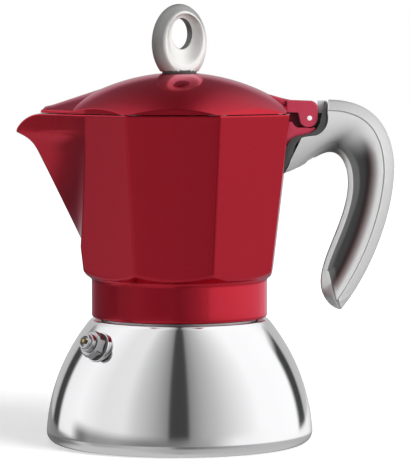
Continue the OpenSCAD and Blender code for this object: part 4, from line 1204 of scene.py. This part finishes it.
def lid_rings(inset, first, count, crease):
    """Rings of the lid's skin from its middle to its edge. One ring, given by its number, follows
    the crease where the roof leaves the dome, and their numbers there tell which points crease."""
    edge = lid_outline(inset)
    rings = [[] for _ in range(count + 1)]
    creased = []

    def at(p, s):
        """A point part of the way out, on a circle near the middle and on the edge's shape."""
        blend = min(max((s - FLAT_SHARE) / 0.3, 0), 1)
        circle = p.normalized() * LID_ROUND_R
        return s * (circle + (p - circle) * blend)

    def lift(p, s):
        """How far the dome stands above the roof there."""
        q = at(p, s)
        return dome_height(q, inset) - roof_height(q, inset)

    for j, p in enumerate(edge):
        low, high = 0.45, 0.985
        found = p.x < CREASE_X and lift(p, low) > 0 > lift(p, high)
        if found:
            for _ in range(24):
                middle = (low + high) / 2
                low, high = (middle, high) if lift(p, middle) > 0 else (low, middle)
            creased.append(j)
        for k in range(count + 1):
            s = (first + (high - first) * k / crease if k <= crease
                 else high + (1 - high) * (k - crease) / (count - crease))
            q = at(p, s)
            z = roof_height(q, inset) if found and k > crease else dome_height(q, inset)
            rings[k].append((q.x, q.y, z))
    return rings, creased


SKIRT_SOFT = 0.45
BOSS_R = 4.6
BOSS_H = 3.0
HOLE_R = 2.15
UNDER_FIRST = BOSS_R / 50
UNDER_FEWER = 16
top_skin, creased = lid_rings(0.0, HOLE_R / LID_ROUND_R, LID_RINGS, CREASE_RING)
under_skin, _ = lid_rings(LID_WALL, UNDER_FIRST, LID_RINGS - UNDER_FEWER,
                          CREASE_RING - UNDER_FEWER)
foot_out = [(p[0], p[1], LID_Z) for p in top_skin[-1]]
foot_in = [(p[0], p[1], LID_Z) for p in under_skin[-1]]
under_skin[-1] = [(p[0], p[1], max(p[2], LID_Z + 0.5)) for p in under_skin[-1]]
skirt = rounded(top_skin[-2], top_skin[-1], foot_out, SKIRT_SOFT)


def circle_of(ring, r, z):
    """A circle under the same points of a ring."""
    return [(p[0] * r / hypot(p[0], p[1]), p[1] * r / hypot(p[0], p[1]), z) for p in ring]


boss_z = DOME_Z + DOME_R - LID_WALL
lid_all = (top_skin[:-1] + skirt + [between(skirt[-1], foot_out, 0.5), foot_out, foot_in]
           + under_skin[::-1] + [circle_of(foot_in, BOSS_R, boss_z - BOSS_H + 0.4),
                                 circle_of(foot_in, BOSS_R - 0.4, boss_z - BOSS_H),
                                 circle_of(foot_in, HOLE_R, boss_z - BOSS_H)])
# Rows of faces are counted from the boss, and the rows from there to the skirt's foot are bare
bare_rows = len(lid_all) - len(top_skin) - len(skirt) - 2
lid_marks = [1 if 0 < k < bare_rows else 0 for k in range(len(lid_all))]
lid_skin = solid("domed_lid", lid_all[::-1], loop=True, sharp=26, marks=lid_marks)
crease_start = len(top_skin[0]) * (len(lid_all) - 1 - CREASE_RING)
crease_points = {crease_start + j for j in creased}
for edge in lid_skin.data.edges:
    if crease_points.issuperset(edge.vertices):
        edge.use_edge_sharp = True

FORK_TOP = PIN_Z + 7.6
fork_root = PIN_X - 8.9
arm = prism("arm", [(fork_root - 11, LID_Z + 4), (fork_root - 11, FORK_TOP + 3.2),
                    (fork_root - 4, FORK_TOP + 1.2), (fork_root + 0.8, FORK_TOP + 0.1),
                    (fork_root + 0.8, LID_Z + 0.2), (fork_root - 2, LID_Z)],
            KNUCKLE_W + 3, bevel=0.8)
ears = [prism("ear", [(fork_root - 1.2, LID_Z + 0.2), (fork_root - 1.2, FORK_TOP + 0.2)]
              + arc((PIN_X - 0.2, PIN_Z + 3.6), 3.9, 78, 10, 12)
              + arc((PIN_X - 0.6, PIN_Z), EAR_R, -5, -150, 20) + [(PIN_X - 5.2, LID_Z + 0.2)],
              EAR_T, side * (EAR_IN + EAR_T / 2), bevel=0.5) for side in (-1, 1)]
# The arm and the ears take the cast red, with its painted highlight
for cast in (arm, *ears):
    for face in cast.data.polygons:
        face.material_index = 2
lid_piece = joined(lid_skin, arm, *ears)
weigh(lid_piece)
fit(lid_piece, "cover", "red_paint", [red_lacquer, bare_aluminium, highlit_cast_lacquer], "lid")

# ---------------------------------------------------------------- knob
# A moulded nylon ring with a dished face on each side, sprayed satin grey. It stands on a thin
# washer and is held by a screw from inside the lid.

KNOB_LOW, KNOB_HIGH = (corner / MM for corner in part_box("knob"))
KNOB_Z = KNOB_LOW.z
KNOB_H = KNOB_HIGH.z - KNOB_Z
KNOB_HALF_W = 13.0
KNOB_HALF_T = 5.5
KNOB_DEPTH = 8.29
KNOB_TURN = radians(31)
HOLE_HALF = (5.1, 6.8)
MID_Z = 0.42 * KNOB_H
HOLE_Z = 0.56 * KNOB_H
DISH_MID_Z = 0.49 * KNOB_H
DISH_SHARE = 0.69
DISH_DEEP = 2.44
TOP_H = KNOB_H - MID_Z


def eased(t):
    """A share from 0 to 1 that starts and ends softly."""
    t = min(max(t, 0), 1)
    return t * t * (3 - 2 * t)


def oval_point(half, z, angle):
    """A point of an oval in the ring's plane, from its half width and half height."""
    return Vector((half[0] * cos(angle), z + half[1] * sin(angle)))


KNOB_STEPS = 120
BULGE_STEPS = 12
HOLE_PAINTED_SHADE = 0.70
BAND_PAINTED_SHADE = 0.62
knob_sections, knob_painted_shade = [], []
middle = Vector((0, MID_Z))
for j in range(KNOB_STEPS):
    a = 2 * pi * j / KNOB_STEPS
    hole = oval_point(HOLE_HALF, HOLE_Z, a)
    dish = oval_point((KNOB_HALF_W * DISH_SHARE, TOP_H * DISH_SHARE), DISH_MID_Z, a)
    rim = oval_point((KNOB_HALF_W, TOP_H), MID_Z, a)
    bulge = []
    for k in range(BULGE_STEPS + 1):
        d = KNOB_HALF_T * (1 - k / BULGE_STEPS)
        bulge.append((middle + (rim - middle) * sqrt(1 - (d / KNOB_DEPTH) ** 2), d))
    land = bulge[0][0]
    dish_in = dish + (land - dish) * 0.25
    side = [(hole, 0), (hole, 1.3), (hole, 2.3), (hole + (dish - hole) * 0.02, 2.46)]
    side += [(hole + (dish - hole) * t,
              DISH_DEEP + (KNOB_HALF_T - DISH_DEEP) * (0.25 * t + 0.75 * t * t))
             for t in (0.12, 0.3, 0.5, 0.7, 0.88, 0.97)]
    side += [(dish, KNOB_HALF_T - 0.10), (dish + (dish_in - dish) * 0.3, KNOB_HALF_T),
             (dish_in + (land - dish_in) * 0.5, KNOB_HALF_T),
             (land + (bulge[1][0] - land) * 0.1, KNOB_HALF_T - 0.08)]
    side += bulge[1:]
    full = side + [(q, -d) for q, d in side[-2:0:-1]]
    knob_sections.append([(q.x, d, q.y) for q, d in full])
    # Painted shade by the angle round the ring: the hole's wall dark, the dish darker to the right
    # and the top, the outer band darker to the left and the top
    right, up, down = max(cos(a), 0), max(sin(a), 0), max(-sin(a), 0)
    band = BAND_PAINTED_SHADE * min(1 - right + 0.9 * up, 1) * (1 - 0.5 * down)
    shade_tones = [HOLE_PAINTED_SHADE] * 3 + [0.25 + 0.1 * right]
    shade_tones += [0.10 * up + 0.34 * right * (1 - t) for t in (0, 0.1, 0.2, 0.3, 0.5, 0.8)] + [0] * 4
    shade_tones += [band * eased(k / 2) for k in range(1, len(bulge))]
    knob_painted_shade += shade_tones + shade_tones[-2:0:-1]
knob_place = Matrix.Translation((0, 0, KNOB_Z)) @ Matrix.Rotation(KNOB_TURN, 4, "Z")
knob = solid("ring_knob", moved(knob_sections, knob_place), loop=True, sharp=26)
darken(knob, "painted_hollow_shade", knob_painted_shade)
turn_outwards(knob)

# The ring's foot is cut flat where it stands on the washer
work = bmesh.new()
work.from_mesh(knob.data)
bmesh.ops.bisect_plane(work, geom=work.verts[:] + work.edges[:] + work.faces[:],
                       plane_co=(0, 0, KNOB_Z * MM), plane_no=(0, 0, -1), clear_outer=True)
bmesh.ops.holes_fill(work, edges=[e for e in work.edges if e.is_boundary])
work.to_mesh(knob.data)
work.free()
# The knob's grey takes the painted shade above
knob_silver = finish("knob_silver", ((0.66, 0.66, 0.64), (0.60, 0.60, 0.58)), (0.38, 0.46), 0.35,
                     (skin_grain, {"Size": 0.25}), patch=25.0, bump=0.008, marks="painted_hollow_shade")
weigh(knob)
fit(knob, "cover", "grey_nylon", [knob_silver], "knob")

# ---------------------------------------------------------------- knob screw and washer
# A zinc-plated pan-head screw comes up through the lid's boss into the knob. The thin black
# washer between the knob and the dome is moulded nylon.

SCREW_LOW, SCREW_HIGH = (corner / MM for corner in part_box("knob_screw"))
SCREW_R = 2.0
SCREW_HEAD_R = 3.4
SCREW_HEAD_T = 1.8
HEAD_ROUND = 0.9
SLOT_HALF_L = 1.8
SLOT_HALF_W = 0.4
SLOT_FOOT = 1 - SCREW_HEAD_T


def slot_bar(half_x, half_y, start, end, place):
    """A plain square cutter along a place's own upright axis."""
    rings = [[(x * half_x, y * half_y, s) for x, y in ((1, -1), (1, 1), (-1, 1), (-1, -1))]
             for s in (start, end)]
    return solid("tool", moved([[(0, 0, start)], *rings, [(0, 0, end)]], place))


def pan_screw(name, length, place):
    """A pan-head screw along a place's upright axis, its seat at zero, with a crossed slot."""
    head = arc((SCREW_HEAD_R - 1.5, HEAD_ROUND - SCREW_HEAD_T), HEAD_ROUND, -90, -10, 6)
    outline = [(0, -SCREW_HEAD_T)] + [(r + 0.6 * (k / 6), z) for k, (r, z) in enumerate(head)]
    outline += [(SCREW_HEAD_R, -0.15), (SCREW_HEAD_R - 0.1, 0), (SCREW_R, 0),
                (SCREW_R, length - 0.6), (SCREW_R - 0.6, length), (0, length)]
    made = solid(name, moved(spun(outline, 48), place))
    cut(made, *(slot_bar(x, y, -SCREW_HEAD_T - 1, SLOT_FOOT, place)
                for x, y in ((SLOT_HALF_L, SLOT_HALF_W), (SLOT_HALF_W, SLOT_HALF_L))))
    weigh(made)
    return made


knob_seat = Matrix.Translation((0, 0, SCREW_LOW.z + SCREW_HEAD_T))
knob_screw = pan_screw("knob_bolt", SCREW_HIGH.z - SCREW_LOW.z - SCREW_HEAD_T, knob_seat)
fit(knob_screw, "cover", "satin_steel", [satin_steel], "knob_screw")
black_nylon = finish("black_nylon", ((0.040, 0.041, 0.041), (0.052, 0.053, 0.052)), (0.42, 0.55),
                     0.0, (skin_grain, {"Size": 0.3}), patch=12.0, bump=0.012)
coat_node(black_nylon, "knob_washer")

# ---------------------------------------------------------------- handle
# A hook of nylon sprayed satin silver, screwed to the bracket: a flat band along its back, a fine
# groove beside it, sides that curve in to a hollow, and a strip along the belly that widens at
# the tip. Its curves are measured from the hinge pin.

HANDLE_W = 19.0
SPINE_SHARE = 12.0 / HANDLE_W
CREASE_IN = 4.6
STRIP_W = 2.3
GROOVE = 0.35
REACH = 37.1
LOW = -84.6
PALM = REACH - 20.3
BACK = [[(3.6, 7.7), (30.6, 9.9), (REACH, -7.5), (REACH, 0.28 * LOW)],
        [(REACH, 0.28 * LOW), (36.2, 0.52 * LOW), (26.9, 0.8 * LOW), (13.8, LOW)]]
BELLY = [[(-11.8, -24.5), (-2.5, -22), (3.7, -15), (8.9, -15)],
         [(8.9, -15), (13.2, -15), (PALM, -19.5), (PALM, 0.34 * LOW)],
         [(PALM, 0.34 * LOW), (PALM, 0.52 * LOW), (4.9, 0.72 * LOW), (4.9, 0.85 * LOW)],
         [(4.9, 0.85 * LOW), (4.9, 0.925 * LOW), (8.8, 0.98 * LOW), (13.8, LOW)]]
TIP_FACET = [(8.4, -67.2), (10.0, -73.9), (11.4, -79.4), (14.4, -84.9)]
FACET_FROM = 1.44
RIBS = 150
FLANK_STEPS = 20

# Widths at a rib's places, as shares of its half width: its flank under the groove, and the edge
# of the strip and the belly, each at the neck and at the hook. Then how dark the painted shade is.
FLANK_W = 0.99
NECK_EDGE_W = 0.56
NECK_BELLY_W = 0.28
HOOK_EDGE_W = 0.59
HOOK_BELLY_W = 0.52
MIDDLE_PAINTED_SHADE = 0.40
HOLLOW_PAINTED_SHADE = 0.93


def mixed(a, b, share):
    """A value part of the way from one value to another."""
    return a + (b - a) * share


def crossing(start, end, line):
    """How far along a rib it meets a line, or None."""
    for a, b in zip(line, line[1:]):
        a, b = Vector(a), Vector(b)
        along, side = end - start, b - a
        turn = along.x * side.y - along.y * side.x
        t = ((a - start).x * side.y - (a - start).y * side.x) / turn
        s = ((a - start).x * along.y - (a - start).y * along.x) / turn
        if 0 < t < 1 and 0 <= s <= 1:
            return t * along.length
    return None


def rib(u):
    """One rib of the handle, from its back down one side to its belly and up the other, as pairs of
    a point and how much painted shade darkens the paint there."""
    n = min(int(2 * u), 3)
    pieces = (BACK[0], u) if u < 1 else (BACK[1], u - 1), (BELLY[n], 2 * u - n)
    back, belly = (Vector(bezier(*piece)) for piece in pieces)
    ahead = [(Vector(bezier(curve, t + 0.01)) - Vector(bezier(curve, t - 0.01))).normalized()
             for curve, t in pieces]
    depth = (belly - back).length
    into = (belly - back) / depth
    lean_back, lean_belly = (max(abs(into.x * d.y - into.y * d.x), 0.25) for d in ahead)
    half = HANDLE_W / 2 * min(1, 0.3 + depth / 16)
    grip = eased((u - 0.50) / 0.38)
    tip = eased((u - 1.46) / 0.2)
    strip = depth - STRIP_W / lean_belly
    if u > FACET_FROM:
        strip = crossing(back, belly, TIP_FACET) or strip
    crease = min(CREASE_IN / lean_back, 0.4 * depth + 0.5 * tip * depth, 0.9 * strip)
    fine = min(0.42, 0.03 * depth, 0.05 * strip)
    groove_w = 1 - 0.8 * GROOVE / half
    side = [(0, SPINE_SHARE * 0.5, MIDDLE_PAINTED_SHADE), (0, SPINE_SHARE * 0.9, MIDDLE_PAINTED_SHADE),
            (0.06 * crease, SPINE_SHARE, MIDDLE_PAINTED_SHADE)]
    side += [(t * crease, mixed(SPINE_SHARE, 1, w), 0.38 - 0.12 * t)
             for t, w in ((0.2, 0.30), (0.5, 0.64), (0.8, 0.88))]
    side += [(crease - fine, 0.985, 0.2), (crease - 0.4 * fine, groove_w, 0.62),
             (crease + 0.4 * fine, groove_w, 0.62), (crease + fine, FLANK_W, 0.03)]
    step = 0.02 * (depth - strip) + 0.2 * tip
    flank_end = strip - min(3 * step, 0.3 * strip) * tip
    neck_painted_shade = 0.40 + 0.50 * eased((u - 0.02) / 0.48)
    wall = 0
    for k in range(1, FLANK_STEPS):
        t = k / FLANK_STEPS
        e = mixed(crease + fine, flank_end, t)
        sunk = e * lean_back
        wall = FLANK_W - 0.50 * eased((sunk - 6.3) / 7.2)
        dark = (HOLLOW_PAINTED_SHADE * eased((sunk - 7.4) / 4.0)
                * (1 - 0.12 * eased((e - strip + 3.2) / 0.6)))
        side.append((e, mixed(FLANK_W - 0.42 * t ** 2.2, wall, grip),
                     mixed(neck_painted_shade * t ** 1.3, dark, eased((u - 0.45) / 0.38))))
    edge_w = HOOK_EDGE_W + max(wall - HOOK_EDGE_W, 0) * tip
    belly_w = HOOK_BELLY_W + 0.06 * tip
    side += [(strip - step, mixed(wall, 0.57, 1 - grip), mixed(neck_painted_shade, 0.74 + 0.14 * tip, grip)),
             (strip + step, mixed(NECK_EDGE_W, edge_w, grip), mixed(neck_painted_shade, 0.16 * tip, grip))]
    side += [(mixed(strip, depth, t), mixed(NECK_EDGE_W - NECK_BELLY_W * t * t,
                                            mixed(edge_w, belly_w, t ** 1.5), grip),
              mixed(neck_painted_shade, 0.06 + 0.24 * tip, grip)) for t in (0.3, 0.6, 0.85)]
    side += [(depth, mixed(NECK_BELLY_W, belly_w - 0.05, grip), mixed(neck_painted_shade, 0.35, grip)),
             (depth, 0.5 * NECK_BELLY_W, MIDDLE_PAINTED_SHADE)]
    ring = []
    for d, w, dark in side + [(d, -w, dark) for d, w, dark in side[::-1]]:
        p = back + into * d
        ring.append(((PIN_X + p.x, half * w, PIN_Z + p.y), dark))
    return ring


FIRST_RIB = 0.006
LAST_RIB = 0.9925
END_PAINTED_SHADE = 0.3
handle_ribs = [rib(2 * min(max(k / RIBS, FIRST_RIB), LAST_RIB)) for k in range(RIBS + 1)]
end_caps = [[(tuple(sum((Vector(p) for p, _ in ring), Vector()) / len(ring)), END_PAINTED_SHADE)]
            for ring in (handle_ribs[0], handle_ribs[-1])]
handle_rings = [end_caps[0]] + handle_ribs + [end_caps[1]]
handle = solid("hooked_handle", [[p for p, _ in ring] for ring in handle_rings], sharp=30)
# Painted shade on the handle: its back band and groove, its neck darker downwards, its hollow
# darkest, and its ends
darken(handle, "painted_hollow_shade", [dark for ring in handle_rings for _, dark in ring])
turn_outwards(handle)

BODY_EDGE = ([(8.0, 9.0), (7.95, 5.0)] + arc((0, 0), 8.15, 14, -68, 16)
             + [(-1.5, -8.1), (-3.1, -8.5), (-4.6, -9.6), (-6.1, -11.7), (-7.5, -16.4), (-9, -20.9),
                (-10.9, -24.4)])
front = prism("tool", from_pin(BODY_EDGE + [(-40, -24.4), (-40, 12), (8.0, 12)]), 60, bevel=0)
facet_slab = prism("tool", [(0, 0), (corner_r(0) * cos(HALF_SIDE), 0),
                            (corner_r(2 * RIM_Z) * cos(HALF_SIDE), 2 * RIM_Z), (0, 2 * RIM_Z)],
                   80, bevel=0)

SCREW_TILT = radians(-30)
SLOT_W = KNUCKLE_W - 0.4
SLOT_BACK = PIN_X + 1.1
screw_place = (Matrix.Translation((PIN_X - 0.8, 0, PIN_Z - 16.85))
               @ Matrix.Rotation(SCREW_TILT, 4, "Y"))
tang_slot = prism("tool", [(RIM_X - 10, PIN_Z - 13.6), (SLOT_BACK, PIN_Z - 13.6),
                           (SLOT_BACK, PIN_Z - 4.6), (RIM_X - 10, PIN_Z - 4.6)], SLOT_W, bevel=0)
cut(handle, front, facet_slab, tang_slot, tool_bar(SCREW_R + 0.15, -1, 10, screw_place),
    tool_bar(SCREW_HEAD_R + 0.3, -8, 0, screw_place), sharp=30)
WEB_W = KNUCKLE_W - 0.6
nose_outline = [(3.4, 7.6), (7.3, 7.6), (8.6, 5), (8.6, 0.5), (4.2, 0.5), (3.5, 1.6)]
joined(handle, prism("nose", from_pin(nose_outline), WEB_W, bevel=0.3))
handle.data.set_sharp_from_angle(angle=radians(30))
silver_nylon = finish("silver_nylon", ((0.64, 0.64, 0.64), (0.60, 0.60, 0.60)), (0.42, 0.50), 0.30,
                      (skin_grain, {"Size": 0.25}), patch=40.0, bump=0.010, marks="painted_hollow_shade")
weigh(handle)
fit(handle, "top", "grey_nylon", [silver_nylon], "handle")
# The lacquered facets and the lid don't mirror the handle
handle.visible_glossy = False

# ---------------------------------------------------------------- handle insert and screw
# The black nylon piece that fills the joint between the silver hook and the hinge bracket. One
# tilted screw from below holds the hook, and goes through it into the bracket.


def softened(name, node, bevel):
    """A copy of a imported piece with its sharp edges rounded."""
    work = bmesh.new()
    work.from_mesh(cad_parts[node].data)
    bmesh.ops.remove_doubles(work, verts=work.verts, dist=1e-6)
    bmesh.ops.dissolve_limit(work, angle_limit=radians(1), verts=work.verts, edges=work.edges)
    soften_edges(work, bevel, 2)
    mesh = bpy.data.meshes.new(name)
    work.to_mesh(mesh)
    work.free()
    return smoothed(name, mesh, 30)


HEEL_W = 9.0
web_outline = [(3.3, 2.4), (6.2, 2.4), (5.4, -4.0), (2.6, -6.4), (-0.6, -6.2), (-0.6, -4.4),
               (1.6, -2.9), (2.9, -1.0), (3.1, 1.0)]
heel_outline = [(-4.6, -8.6), (-2.8, -8.8), (-5.0, -14.5), (-6.4, -18.2), (-8.6, -20.0),
                (-7.4, -15.5)]
insert = softened("black_insert", "handle_insert", 0.25)
joined(insert, prism("web", from_pin(web_outline), WEB_W, bevel=0.2),
       prism("heel", from_pin(heel_outline), HEEL_W, bevel=0.2))
insert.data.set_sharp_from_angle(angle=radians(30))
fit(insert, "top", "black_nylon", [black_nylon], "handle_insert")
handle_bolt = pan_screw("handle_bolt", 10, screw_place)
fit(handle_bolt, "top", "satin_steel", [satin_steel], "handle_screw")
